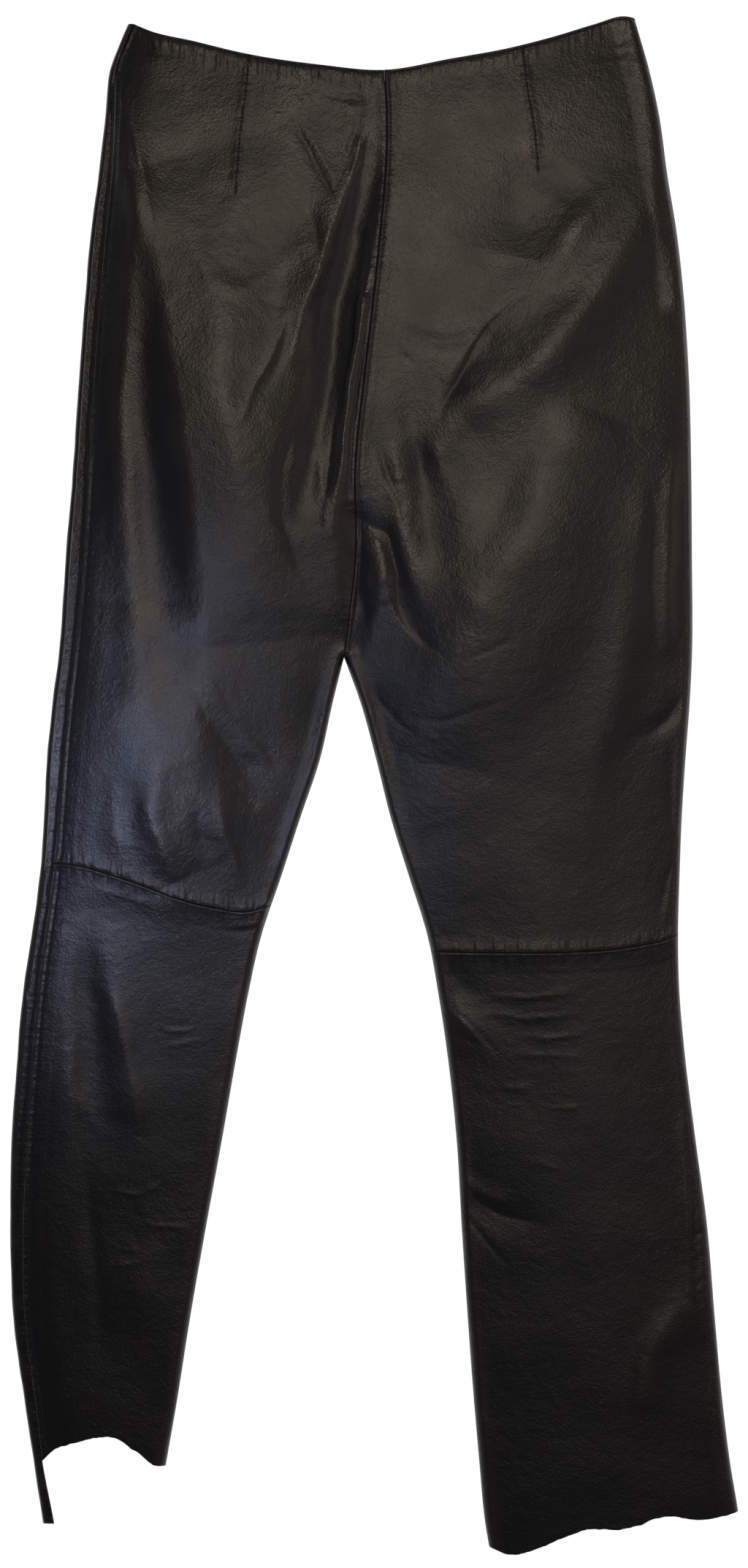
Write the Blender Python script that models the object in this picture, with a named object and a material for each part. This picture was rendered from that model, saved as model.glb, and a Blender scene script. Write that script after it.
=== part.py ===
"""Leather trousers laid flat, back uppermost: a high waist with no band, knee seams and raw hems.

The garment lies on the XY plane with its waist towards +Y and its outside facing +Z. Two layers make it:
the front panels lie flat underneath, and the back panels lie on them and stand up in soft folds. On the
wearer's left the front panels turn over the side edge and reach the side seam on top. Sizes below are in
millimetres, and meshes in metres.
"""

from typing import NamedTuple

import bmesh
import bpy
import numpy as np

MM = 0.001

# ---------------------------------------------------------------- driving dimensions, mm
WALL = 1.5  # thickness of the leather
SEAM_GAP = 0.3  # clearance between two pieces where they are sewn
FOLD_RADIUS = 3.0  # outside radius of the turned left side edge
FLOOR_LAYER = WALL + SEAM_GAP  # lowest place for the underside of a back panel
EDGE_HEIGHT = FLOOR_LAYER + WALL  # outside height of a back panel at a sewn edge
EASE_WIDTH = 34.0  # how far in from the left outline the back panels climb to their full loft
SHOULDER = 0.5  # the share of it that they climb over a narrow width from any other edge
SHOULDER_WIDTH = 5.0
LONG_EASE = 95.0  # and the width that the rest takes
EDGE_FADE = 14.0  # folds die out over this width beside an edge
FOLD_END = 0.05  # share of a half wave cut off a fold's ends, so that they keep a little height
FOLD_FULLNESS = 0.8  # below 1, a fold keeps its height further towards its ends
FRONT_DROP = 6.0  # the front waist line dips this far below the back one
FRONT_HEM_SHORT = 3.0  # the front hems end this far above the back hems
CROTCH_Y = 87.5
TAIL_END_Y = -504.0  # lower end of the strip left hanging at the left side seam
ZIP_LENGTH = 180.0
ZIP_WIDTH = 6.0
ZIP_THICKNESS = 1.2
ZIP_EASE = 14.0  # the leather above comes down again over this distance from the zip

# how many cells each panel has, across and along; panels that share a seam share its count
COLUMNS = 20
CLOSER = 0.4  # columns stand closer by this share beside the seams, where the folds gather
UPPER_ROWS = 38
LOWER_ROWS = 22
FRONT_COLUMNS = 3
TURN_STEPS = 6  # cells round the turned side edge
TAIL_ROWS = 3
LEAST_STRIP = 1.0  # mm, the strip on top of a turned edge is never narrower than this
BREAK_SHIFT = 1.5  # mm, the layer underneath changes its cells this far past the side seam
ZIP_ROWS = 12

LEATHER_COLOUR = (0.012, 0.011, 0.011, 1.0)
UNDER_COLOUR = (0.020, 0.018, 0.017, 1.0)
ZIP_COLOUR = (0.006, 0.006, 0.007, 1.0)


class Section(NamedTuple):
    """One level: where it crosses each edge and seam. Above the crotch both inners are the centre seam."""

    name: str
    y: float
    left_edge: float
    side_seam: float
    left_inner: float
    right_inner: float
    right_edge: float


SECTIONS = [
    Section("waist tips", 522.5, -167.5, -163.0, 7.0, 7.0, 178.5),
    Section("waist", 487.5, -181.0, -176.0, 7.0, 7.0, 188.5),
    Section("dart top", 457.5, -184.0, -177.5, 8.5, 8.5, 195.0),
    Section("dart end", 417.5, -188.5, -179.5, 7.5, 7.5, 200.5),
    Section("high hip", 377.5, -194.0, -183.5, 4.0, 4.0, 207.0),
    Section("hip", 337.5, -197.5, -187.0, 0.0, 0.0, 211.5),
    Section("low hip", 277.5, -202.0, -191.5, -7.0, -7.0, 215.5),
    Section("seat", 217.5, -206.0, -195.0, -13.0, -13.0, 217.0),
    Section("low seat", 157.5, -211.0, -198.5, -12.5, -12.5, 217.5),
    Section("crotch", CROTCH_Y, -216.0, -205.0, -20.5, -20.5, 217.5),
    Section("top thigh", 57.5, -220.0, -208.5, -28.0, -9.5, 216.0),
    Section("thigh", 17.5, -224.0, -212.0, -37.0, 1.5, 213.0),
    Section("low thigh", -22.5, -226.0, -215.0, -50.5, 11.5, 210.5),
    Section("above knee", -62.5, -229.0, -218.5, -63.5, 24.0, 209.0),
    Section("knee", -102.5, -234.5, -224.0, -77.0, 36.5, 208.0),
    Section("below knee", -142.5, -240.5, -229.0, -86.0, 44.0, 209.0),
    Section("high calf", -182.5, -244.0, -232.5, -93.5, 50.0, 212.5),
    Section("calf", -242.5, -248.0, -237.0, -104.0, 56.5, 220.0),
    Section("low calf", -302.5, -249.0, -240.0, -115.0, 60.0, 228.0),
    Section("shin", -362.5, -247.0, -239.0, -125.5, 64.0, 233.0),
    Section("ankle", -422.5, -239.0, -231.5, -135.0, 68.5, 238.5),
    Section("left hem", -462.5, -233.0, -226.5, -142.0, 72.0, 243.5),
    Section("tail end", -504.0, -226.5, -218.5, -149.0, 76.0, 250.0),
    Section("right hem", -525.0, -223.0, -215.0, -152.5, 79.5, 251.5),
]


class Along(NamedTuple):
    """A point of a line that runs across the garment."""

    x: float
    y: float


WAIST = [
    Along(-167.5, 522.0),
    Along(-154.0, 515.5),
    Along(-122.0, 507.5),
    Along(-89.0, 499.5),
    Along(-36.0, 491.5),
    Along(7.0, 488.0),
    Along(51.0, 495.5),
    Along(94.0, 503.5),
    Along(124.5, 511.5),
    Along(150.0, 519.5),
    Along(170.0, 525.0),
    Along(178.5, 524.0),
]
LEFT_KNEE = [
    Along(-230.0, -53.0),
    Along(-202.0, -54.5),
    Along(-179.0, -61.0),
    Along(-154.0, -69.5),
    Along(-131.0, -78.0),
    Along(-108.5, -83.5),
    Along(-87.0, -86.0),
    Along(-66.0, -80.0),
]
RIGHT_KNEE = [
    Along(38.0, -113.5),
    Along(80.0, -114.0),
    Along(146.5, -113.0),
    Along(165.5, -111.5),
    Along(185.0, -108.5),
    Along(200.0, -105.0),
    Along(211.0, -99.0),
]
LEFT_HEM = [
    Along(-228.0, -462.0),
    Along(-221.0, -455.5),
    Along(-200.5, -447.5),
    Along(-177.0, -445.5),
    Along(-160.0, -456.5),
    Along(-151.5, -463.0),
    Along(-141.0, -465.0),
]
RIGHT_HEM = [
    Along(78.0, -519.5),
    Along(91.5, -525.2),
    Along(107.0, -522.0),
    Along(131.5, -512.5),
    Along(147.0, -507.5),
    Along(167.0, -507.5),
    Along(179.5, -505.0),
    Along(191.5, -500.0),
    Along(227.0, -500.5),
    Along(251.0, -495.5),
]


class Loft(NamedTuple):
    """How far the back panels stand above their sewn edges at one level, before the folds."""

    y: float
    height: float


LOFTS = [
    Loft(525.0, 5.2),
    Loft(480.0, 7.0),
    Loft(400.0, 8.5),
    Loft(200.0, 9.0),
    Loft(0.0, 8.2),
    Loft(-100.0, 7.7),
    Loft(-300.0, 7.2),
    Loft(-450.0, 6.6),
    Loft(-525.0, 6.3),
]


class Fold(NamedTuple):
    """A soft ridge (rise above 0) or trough (below 0) along a line of x, y points from top to bottom.

    lean above 0 makes its right side gentler and its left side steeper.
    """

    name: str
    line: tuple
    width: float
    rise: float
    lean: float = 0.0


FOLDS = [
    Fold("corner flank", ((-184, 478), (-176, 450), (-168, 420), (-160, 390), (-152, 362)), 16, 2.5, 0.4),
    Fold("belly flank", ((-160, 420), (-146, 370), (-139, 320), (-131, 270), (-123, 220), (-115, 170),
         (-105, 115), (-92, 50)), 52, 8.5, 0.6),
    Fold("belly dome", ((-112, 350), (-104, 310), (-103, 270), (-92, 220), (-85, 170), (-83, 110)), 36, 3.2),
    Fold("side terrace", ((-170, 440), (-166, 390), (-169, 325), (-171, 240), (-165, 150), (-160, 60)),
         12, 3.0),
    Fold("seat ridge", ((-10, 432), (-20, 400), (-32, 372), (-40, 345), (-49, 318),
         (-58, 288)), 11, 3.0, -0.35),
    Fold("seat trough", ((-1, 424), (-8, 393), (-13, 370), (-20, 345), (-26, 320), (-32, 270),
         (-42, 222), (-53, 185)), 12, -5.5),
    Fold("ridge by the centre seam", ((-4, 385), (-6, 360), (-10, 320), (-18, 270), (-24, 222),
         (-32, 175)), 6, 1.8),
    Fold("hip ridge", ((194, 428), (184, 394), (172, 366), (151, 334), (129, 309), (110, 288), (86, 271),
         (60, 254), (44, 234)), 15, 2.4),
    Fold("hip dome", ((186, 420), (163, 368), (140, 332), (118, 300), (92, 272),
         (62, 250)), 42, 3.0, -0.15),
    Fold("upper hip ridge", ((173, 414), (150, 392), (132, 372), (115, 338)), 11, 1.3),
    Fold("upper hip hollow", ((122, 430), (106, 395), (98, 360)), 26, -2.4),
    Fold("hip crease", ((96, 322), (79, 305), (62, 283), (52, 268), (44, 250)), 7, -1.2, 0.3),
    Fold("thigh ridge", ((132, 262), (118, 220), (101, 170), (78, 120), (63, 70), (48, 15)), 52, 7.2, 0.2),
    Fold("outer thigh ridge", ((200, 245), (190, 200), (182, 160), (176, 120), (164, 70), (152, 20),
         (142, -30)), 16, 1.8),
    Fold("right seat valley", ((24, 262), (31, 225), (36, 190), (44, 150)), 12, -1.5, 0.2),
    Fold("centre valley", ((0, 200), (-3, 175), (-7, 150), (-10, 120), (-17, 92)), 14, -6.5),
    Fold("crotch trough", ((-6, 180), (6, 168), (14, 150), (20, 122), (36, 98)), 8, -1.8, 0.3),
    Fold("crotch ridge", ((14, 205), (17, 182), (22, 155), (34, 128)), 9, 1.6, 0.3),
    Fold("right side roll", ((206, 225), (201, 170), (200, 120), (198, 90)), 6, 1.4),
    Fold("left thigh ridge", ((-158, 125), (-157, 70), (-155, 20), (-152, -20), (-138, -64)), 43, 6.2),
    Fold("left knee ridge", ((-146, 20), (-149, -5), (-148, -30), (-134, -68)), 11, 1.4),
    Fold("left knee groove", ((-166, 0), (-164, -30), (-160, -64)), 9, -0.5),
    Fold("left knee trough", ((-114, 55), (-94, 20), (-70, -10)), 14, -1.4),
    Fold("right inner thigh", ((-9, 74), (2, 34), (14, -16), (26, -62)), 21, -2.2),
    Fold("left inner thigh", ((-24, 120), (-33, 75), (-46, 25), (-60, -20)), 27, -2.6),
    Fold("outer thigh crease", ((212, 62), (200, 45), (180, 33)), 7, -1.0),
    Fold("left calf trough", ((-203, -90), (-196, -135), (-191, -190), (-186, -240)), 12, -2.2),
    Fold("left calf ridge", ((-184, -108), (-177, -150), (-166, -200), (-160, -240)), 14, 1.6),
    Fold("right calf ridge", ((45, -150), (60, -162), (85, -180)), 13, 1.4),
    Fold("right calf trough", ((58, -262), (80, -290), (115, -300)), 12, -1.2),
    Fold("right hem fold", ((214, -350), (190, -385), (180, -430)), 14, 2.2, 0.3),
]


# ---------------------------------------------------------------- shapes as formulas
def smooth(at, knots, values):
    """Cubic Hermite curve through the knots, each with the slope of the line between its two neighbours."""
    knots = np.asarray(knots, float)
    values = np.asarray(values, float)
    slopes = np.gradient(values, knots)
    i = np.clip(np.searchsorted(knots, at) - 1, 0, len(knots) - 2)
    span = knots[i + 1] - knots[i]
    t = np.clip((at - knots[i]) / span, 0.0, 1.0)
    rise = t * t * (3 - 2 * t)
    lead_in = t * (1 - t) ** 2 * span * slopes[i]
    lead_out = t * t * (t - 1) * span * slopes[i + 1]
    return values[i] * (1 - rise) + values[i + 1] * rise + lead_in + lead_out


def edge(column, y):
    """X of an edge or seam at level y. The inner edges are one curve above the crotch and one below."""
    y = np.asarray(y, float)
    rows = sorted(SECTIONS, key=lambda row: row.y)
    if column not in ("left_inner", "right_inner"):
        return smooth(y, [r.y for r in rows], [getattr(r, column) for r in rows])
    above = [r for r in rows if r.y >= CROTCH_Y]
    below = [r for r in rows if r.y <= CROTCH_Y]
    seam = smooth(y, [r.y for r in above], [getattr(r, column) for r in above])
    leg = smooth(y, [r.y for r in below], [getattr(r, column) for r in below])
    return np.where(y >= CROTCH_Y, seam, leg)


def across(line, x):
    """Y of a line across the garment, at x."""
    return smooth(np.asarray(x, float), [p.x for p in line], [p.y for p in line])


def from_edges(x, y):
    """Distances in from the left outline, and from the nearest of the right outline and the inner leg edges.

    Above the crotch, the inner edge is the crotch point.
    """
    centre = edge("left_inner", CROTCH_Y)
    left_leg = x < (edge("left_inner", y) + edge("right_inner", y)) / 2
    inner = np.where(left_leg, edge("left_inner", y) - x, x - edge("right_inner", y))
    inner = np.where(y > CROTCH_Y, np.hypot(x - centre, y - CROTCH_Y), inner)
    inner = np.minimum(inner, edge("right_edge", y) - x)
    return np.clip(x - edge("left_edge", y), 0.0, None), np.clip(inner, 0.0, None)


def eased(distance, width):
    """0 to 1 over a width, steepest at the start and level at the end."""
    return 1 - (1 - np.clip(distance / width, 0, 1)) ** 2


def ramp(value, width):
    """0 to 1 over a width, with level ends."""
    t = np.clip(value / width, 0.0, 1.0)
    return t * t * (3 - 2 * t)


def route(points, steps=4):
    """Points along a Catmull-Rom curve through the given ones."""
    p = np.array(points, float)
    p = np.vstack([2 * p[0] - p[1], p, 2 * p[-1] - p[-2]])
    t = np.linspace(0, 1, steps, endpoint=False)[:, None]
    spans = []
    for a, b, c, d in zip(p[:-3], p[1:-2], p[2:-1], p[3:]):
        bend = (2 * a - 5 * b + 4 * c - d) * t**2 + (3 * b - a - 3 * c + d) * t**3
        spans.append(0.5 * (2 * b + (c - a) * t + bend))
    return np.vstack([*spans, p[-2]])


def fold_rise(fold, x, y):
    """Height that one fold adds: a bell across its curve, tapered to nothing at both ends."""
    line = route(fold.line)
    nearest = np.full(np.shape(x), np.inf)
    along = np.zeros(np.shape(x))
    side = np.ones(np.shape(x))
    for k, (a, b) in enumerate(zip(line[:-1], line[1:])):
        step = b - a
        dx, dy = x - a[0], y - a[1]
        share = np.clip((dx * step[0] + dy * step[1]) / (step @ step), 0, 1)
        away = np.hypot(dx - share * step[0], dy - share * step[1])
        closer = away < nearest
        along = np.where(closer, (k + share) / (len(line) - 1), along)
        side = np.where(closer, np.where(dy * step[0] - dx * step[1] < 0, -1.0, 1.0), side)
        nearest = np.minimum(nearest, away)
    taper = np.sin(np.pi * (FOLD_END + (1 - 2 * FOLD_END) * along)) ** FOLD_FULLNESS
    return fold.rise * taper * np.exp(-((nearest / (fold.width * (1 + fold.lean * side))) ** 2))


def zip_zone(x, y):
    """1 over the side zip, 0 away from it."""
    near = 1 - ramp(edge("right_edge", y) - x - ZIP_WIDTH, ZIP_EASE)
    return near * ramp(y - (edge_top_right() - ZIP_LENGTH - 2 * ZIP_EASE), ZIP_EASE)


def edge_top_right():
    """Level of the waist line at its right end."""
    return across(WAIST, WAIST[-1].x)


def back_height(x, y):
    """Outside height of the back panels: an edge height, a pillow that rises from it, and the folds."""
    left, other = from_edges(x, y)
    loft = smooth(y, [r.y for r in reversed(LOFTS)], [r.height for r in reversed(LOFTS)])
    shoulder = SHOULDER * eased(other, SHOULDER_WIDTH) + (1 - SHOULDER) * eased(other, LONG_EASE)
    pillow = loft * eased(left, EASE_WIDTH) * shoulder
    folds = sum(fold_rise(fold, x, y) for fold in FOLDS) * ramp(np.minimum(left, other), EDGE_FADE)
    lowest = EDGE_HEIGHT + (ZIP_THICKNESS + SEAM_GAP) * zip_zone(x, y)
    return lowest + np.maximum(pillow + folds, 0.0)


def back_wall(x, y):
    """Outside and inside heights of a back panel. The wall keeps its thickness square to the slope."""
    nudge = 1.0
    outside = back_height(x, y)
    slope_x = (back_height(x + nudge, y) - back_height(x - nudge, y)) / (2 * nudge)
    slope_y = (back_height(x, y + nudge) - back_height(x, y - nudge)) / (2 * nudge)
    inside = outside - WALL * np.sqrt(1 + slope_x**2 + slope_y**2)
    lowest = FLOOR_LAYER + (ZIP_THICKNESS + SEAM_GAP) * zip_zone(x, y)
    return outside, np.maximum(inside, lowest)


def corner(curve, line):
    """Where a side curve (x of y) meets a cross line (y of x)."""
    x = curve(line(0.0))
    for _ in range(40):
        x = curve(line(x))
    return np.array([x, line(x)], float)


def patch(left, right, top, bottom, columns, rows, crotch=None, left_levels=None):
    """Grid of x, y between two side curves (x of y) and two cross lines (y of x), blended as a Coons patch.

    crotch is "left" or "right" for the side on which one row ends exactly at the crotch. left_levels gives
    the left side's own levels, where they have to match another piece's.
    """

    top_left, top_right = corner(left, top), corner(right, top)
    low_left, low_right = corner(left, bottom), corner(right, bottom)
    u = np.linspace(0, 1, columns + 1)
    u = u - CLOSER * np.sin(2 * np.pi * u) / (2 * np.pi)
    v = np.linspace(0, 1, rows + 1)

    def side_points(side, high, low, has_crotch):
        y = high + (low - high) * v
        if has_crotch:
            row = round((high - CROTCH_Y) / (high - low) * rows)
            y = np.interp(v, [0, row / rows, 1], [high, CROTCH_Y, low])
        return np.stack([side(y), y], axis=1)

    west = side_points(left, top_left[1], low_left[1], crotch == "left")
    if left_levels is not None:
        west = np.stack([left(left_levels), left_levels], axis=1)
    east = side_points(right, top_right[1], low_right[1], crotch == "right")
    top_x = top_left[0] + (top_right[0] - top_left[0]) * u
    low_x = low_left[0] + (low_right[0] - low_left[0]) * u
    north = np.stack([top_x, top(top_x)], axis=1)
    south = np.stack([low_x, bottom(low_x)], axis=1)
    uu, vv = u[None, :, None], v[:, None, None]
    sides = (1 - uu) * west[:, None] + uu * east[:, None]
    ends = (1 - vv) * north[None] + vv * south[None]
    high = (1 - uu) * top_left + uu * top_right
    low = (1 - uu) * low_left + uu * low_right
    grid = sides + ends - (1 - vv) * high - vv * low
    return grid[..., 0], grid[..., 1]


# ---------------------------------------------------------------- meshes
def material(name, colour, roughness):
    made = bpy.data.materials.new(name)
    made.use_nodes = True
    shader = made.node_tree.nodes["Principled BSDF"]
    shader.inputs["Base Color"].default_value = colour
    shader.inputs["Roughness"].default_value = roughness
    shader.inputs["Metallic"].default_value = 0.0
    return made


def wall_piece(name, outside, inside, finish, cells=None):
    """One closed solid between two grids of points, mm. cells says which grid cells are leather."""
    rows, columns = outside.shape[:2]
    if cells is None:
        cells = np.ones((rows - 1, columns - 1), bool)
    mesh = bmesh.new()
    skins = []
    for grid in (outside, inside):
        skins.append([[None] * columns for _ in range(rows)])
        for i in range(rows):
            for j in range(columns):
                if cells[max(i - 1, 0) : i + 1, max(j - 1, 0) : j + 1].any():
                    skins[-1][i][j] = mesh.verts.new(grid[i, j] * MM)
    outer, inner = skins
    border = {}
    for i, j in np.argwhere(cells):
        loop = [(i, j), (i, j + 1), (i + 1, j + 1), (i + 1, j)]
        mesh.faces.new([outer[a][b] for a, b in loop])
        mesh.faces.new([inner[a][b] for a, b in reversed(loop)])
        for a, b in zip(loop, loop[1:] + loop[:1]):
            if (b, a) in border:
                del border[(b, a)]
            else:
                border[(a, b)] = True
    for a, b in border:
        mesh.faces.new([outer[b[0]][b[1]], outer[a[0]][a[1]], inner[a[0]][a[1]], inner[b[0]][b[1]]])
    bmesh.ops.triangulate(mesh, faces=mesh.faces[:])
    bmesh.ops.recalc_face_normals(mesh, faces=mesh.faces[:])
    data = bpy.data.meshes.new(name)
    mesh.to_mesh(data)
    mesh.free()
    data.shade_smooth()
    data.set_sharp_from_angle(angle=np.radians(40))
    data.materials.append(finish)
    piece = bpy.data.objects.new(name, data)
    bpy.context.scene.collection.objects.link(piece)
    return piece


def side(column, shift=0.0):
    return lambda y: edge(column, y) + shift


def cross(line, shift=0.0):
    return lambda x: across(line, x) + shift


def back_panel(name, left, right, top, bottom, rows, finish, crotch=None):
    x, y = patch(left, right, top, bottom, COLUMNS, rows, crotch=crotch)
    outside, inside = back_wall(x, y)
    wall_piece(name, np.stack([x, y, outside], -1), np.stack([x, y, inside], -1), finish)


def flat_panel(name, left, right, top, bottom, rows, finish, crotch=None):
    x, y = patch(left, right, top, bottom, FRONT_COLUMNS, rows, crotch=crotch)
    flat = np.zeros_like(x)
    wall_piece(name, np.stack([x, y, flat], -1), np.stack([x, y, flat + WALL], -1), finish)


def turned_panel(name, right, top, bottom, seam_ends, rows, finish, crotch=None, tail_end=None):
    """A front panel that turns over the left side edge and comes back on top as far as the side seam.

    Going along a row: flat from the inner edge to the edge's fold, half a circle round it, and on top to the
    seam. seam_ends are the back panel's cross lines that the seam runs between. With tail_end, the turned
    strip alone runs on below the hem to that level.
    """

    def fold_side(y):
        return edge("left_edge", y) + FOLD_RADIUS

    def break_side(y):
        return np.maximum(edge("side_seam", y), fold_side(y) + LEAST_STRIP) + BREAK_SHIFT

    seam_side = side("side_seam", SEAM_GAP / 2)
    level = np.linspace(*(corner(seam_side, line)[1] for line in seam_ends), rows + 1)
    flat_x, flat_y = patch(
        break_side, right, top, bottom, FRONT_COLUMNS, rows, crotch=crotch, left_levels=level
    )
    flat_x, flat_y = flat_x[:, ::-1], flat_y[:, ::-1]
    if tail_end is not None:
        more = np.linspace(level[-1], tail_end, TAIL_ROWS + 1)[1:]
        level = np.concatenate([level, more])
        flat_x = np.vstack([flat_x, flat_x[-1:] + np.zeros((TAIL_ROWS, 1))])
        flat_x[-TAIL_ROWS:, -1] = break_side(more)
        flat_y = np.vstack([flat_y, np.repeat(more[:, None], flat_y.shape[1], axis=1)])
    turn = np.linspace(0, np.pi, TURN_STEPS + 1)
    centre = fold_side(level)[:, None]
    seam = (edge("side_seam", level) - SEAM_GAP / 2)[:, None]
    seam_height = back_wall(seam + SEAM_GAP, level[:, None])
    one = np.ones_like(centre)

    def strip(radius, seam_z):
        x = np.hstack([flat_x, centre - radius * np.sin(turn), seam])
        z = np.hstack([0 * flat_x + FOLD_RADIUS - radius, FOLD_RADIUS - radius * np.cos(turn) * one, seam_z])
        y = np.hstack([flat_y, np.repeat(level[:, None], len(turn) + 1, axis=1)])
        return np.stack([x, y, z], -1)

    cells = np.ones((len(level) - 1, FRONT_COLUMNS + len(turn) + 1), bool)
    if tail_end is not None:
        cells[-TAIL_ROWS:, :FRONT_COLUMNS] = False
    outside = strip(FOLD_RADIUS, seam_height[0])
    inside = strip(FOLD_RADIUS - WALL, seam_height[1])
    wall_piece(name, outside, inside, finish, cells)


def side_zip(finish):
    """The closed concealed zip, a narrow tape between the front and back panels' right side edges."""
    top = edge_top_right() - SEAM_GAP
    y = np.linspace(top, top - ZIP_LENGTH, ZIP_ROWS + 1)[:, None]
    x = edge("right_edge", y) - np.array([[SEAM_GAP, ZIP_WIDTH]])
    y = np.repeat(y, 2, axis=1)
    low = np.full_like(x, FLOOR_LAYER)
    wall_piece("side_zip", np.stack([x, y, low + ZIP_THICKNESS], -1), np.stack([x, y, low], -1), finish)


def front_waist(x):
    """The hidden front waist line: the back one, dipping between the side seams."""
    share = np.clip((x - WAIST[0].x) / (WAIST[-1].x - WAIST[0].x), 0, 1)
    return across(WAIST, x) - FRONT_DROP * np.sin(np.pi * share)


def build():
    for old in list(bpy.data.objects):
        bpy.data.objects.remove(old)
    leather = material("black_nappa_leather", LEATHER_COLOUR, 0.42)
    under = material("black_nappa_leather_under", UNDER_COLOUR, 0.5)
    tape = material("black_zip_tape", ZIP_COLOUR, 0.7)
    half = SEAM_GAP / 2

    back_panel(
        "back_left_upper", side("side_seam", half), side("left_inner", -half),
        cross(WAIST), cross(LEFT_KNEE, half), UPPER_ROWS, leather, crotch="right",
    )
    back_panel(
        "back_right_upper", side("right_inner", half), side("right_edge"),
        cross(WAIST), cross(RIGHT_KNEE, half), UPPER_ROWS, leather, crotch="left",
    )
    back_panel(
        "back_left_lower", side("side_seam", half), side("left_inner"),
        cross(LEFT_KNEE, -half), cross(LEFT_HEM), LOWER_ROWS, leather,
    )
    back_panel(
        "back_right_lower", side("right_inner"), side("right_edge"),
        cross(RIGHT_KNEE, -half), cross(RIGHT_HEM), LOWER_ROWS, leather,
    )
    turned_panel(
        "front_left_upper", side("left_inner", -half), front_waist, cross(LEFT_KNEE, half),
        (cross(WAIST), cross(LEFT_KNEE, half)), UPPER_ROWS, under, crotch="right",
    )
    turned_panel(
        "front_left_lower", side("left_inner"), cross(LEFT_KNEE, -half), cross(LEFT_HEM, FRONT_HEM_SHORT),
        (cross(LEFT_KNEE, -half), cross(LEFT_HEM)), LOWER_ROWS, under, tail_end=TAIL_END_Y,
    )
    flat_panel(
        "front_right_upper", side("right_inner", half), side("right_edge"), front_waist,
        cross(RIGHT_KNEE, half), UPPER_ROWS, under, crotch="left",
    )
    flat_panel(
        "front_right_lower", side("right_inner"), side("right_edge"), cross(RIGHT_KNEE, -half),
        cross(RIGHT_HEM, FRONT_HEM_SHORT), LOWER_ROWS, under,
    )
    side_zip(tape)


build()
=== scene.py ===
"""The looks of leather trousers laid flat, back uppermost: black nappa, seams, darts, creases and raw hems.

Sizes are in millimetres in the frame of the CAD solids, and become metres in the meshes. Each panel is a wall
of leather whose outside is a height over the floor: a sewn edge, a soft pillow, folds, creases, crinkle, and
what the sewing does beside each seam.
"""

from typing import Callable, NamedTuple

import bpy
import numpy as np
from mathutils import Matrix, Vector


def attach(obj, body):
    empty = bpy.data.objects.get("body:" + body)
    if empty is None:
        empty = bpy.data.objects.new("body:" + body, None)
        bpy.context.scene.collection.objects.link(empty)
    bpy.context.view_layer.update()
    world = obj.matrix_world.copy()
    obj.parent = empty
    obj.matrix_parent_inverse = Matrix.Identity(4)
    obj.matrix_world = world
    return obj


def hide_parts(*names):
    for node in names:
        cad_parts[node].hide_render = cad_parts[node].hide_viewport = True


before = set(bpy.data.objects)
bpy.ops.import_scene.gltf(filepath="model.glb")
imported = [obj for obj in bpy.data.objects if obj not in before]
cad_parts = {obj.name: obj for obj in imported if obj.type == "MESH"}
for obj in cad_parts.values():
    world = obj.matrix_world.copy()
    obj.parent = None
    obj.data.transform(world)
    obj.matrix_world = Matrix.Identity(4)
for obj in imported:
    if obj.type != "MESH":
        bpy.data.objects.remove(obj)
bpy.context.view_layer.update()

MM = 0.001

# ---------------------------------------------------------------- camera, floor and light
FRAME_HEIGHT = 1073.0  # what the view takes in along the garment, mm
FRAME_CENTRE_Y = 1.0
LENS = 85.0
SENSOR = 36.0
CLIP_END = 50.0  # m
FLOOR_SIZE = 40.0  # m
FLOOR_GAP = 0.0002  # m, keeps the floor from the underside
FLOOR_GLOW = 0.9  # the paper lies on a lit table


class Lamp(NamedTuple):
    """A softbox: where it hangs, what it points at, its width and length (all m), its power (W) and its
    colour.

    spread is the full angle of its cone of light in degrees, kept narrow by a honeycomb grid in front of it.
    """

    name: str
    at: tuple
    towards: tuple
    width: float
    length: float
    power: float
    colour: str
    spread: float = 180.0


LAMPS = [
    Lamp("warm softbox over the hips", (0.04, 0.76, 2.5), (0.02, 0.38, 0.0), 0.36, 0.46, 7.8, "#ffedd4"),
    Lamp("small cool lamp by the left knee", (-0.285, -0.02, 0.9), (-0.215, -0.01, 0.0), 0.1, 0.24, 0.078,
         "#c9d6ff", 34.0),
    Lamp("weak softbox over the right knee", (0.36, -0.2, 2.5), (0.18, -0.1, 0.0), 0.3, 0.4, 1.4, "#f4ecea"),
    Lamp("weak warm softbox on the right", (1.9, 0.3, 1.9), (0.1, 0.1, 0.0), 1.2, 1.2, 3.5, "#ffe2c4"),
]
SKY_COLOUR = "#e6ebff"
SKY_ABOVE = 0.045  # strength overhead
SKY_AROUND = 0.22  # and low down, where the room's pale walls are
SKY_TURN = (0.52, 0.85)  # between these heights of the view it goes from one to the other


def linear(hex_colour):
    """An sRGB hex colour as linear red, green, blue and alpha."""
    parts = np.array([int(hex_colour[i : i + 2], 16) / 255 for i in (1, 3, 5)])
    parts = np.where(parts <= 0.04045, parts / 12.92, ((parts + 0.055) / 1.055) ** 2.4)
    return (*parts, 1.0)


def make_camera():
    """A camera straight over the garment, as high as its lens needs to take in FRAME_HEIGHT."""
    data = bpy.data.cameras.new("camera")
    data.lens = LENS
    data.sensor_width = SENSOR
    data.clip_end = CLIP_END
    camera = bpy.data.objects.new("camera", data)
    camera.location = (0.0, FRAME_CENTRE_Y * MM, LENS / SENSOR * FRAME_HEIGHT * MM)
    bpy.context.scene.collection.objects.link(camera)
    bpy.context.scene.camera = camera


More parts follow.
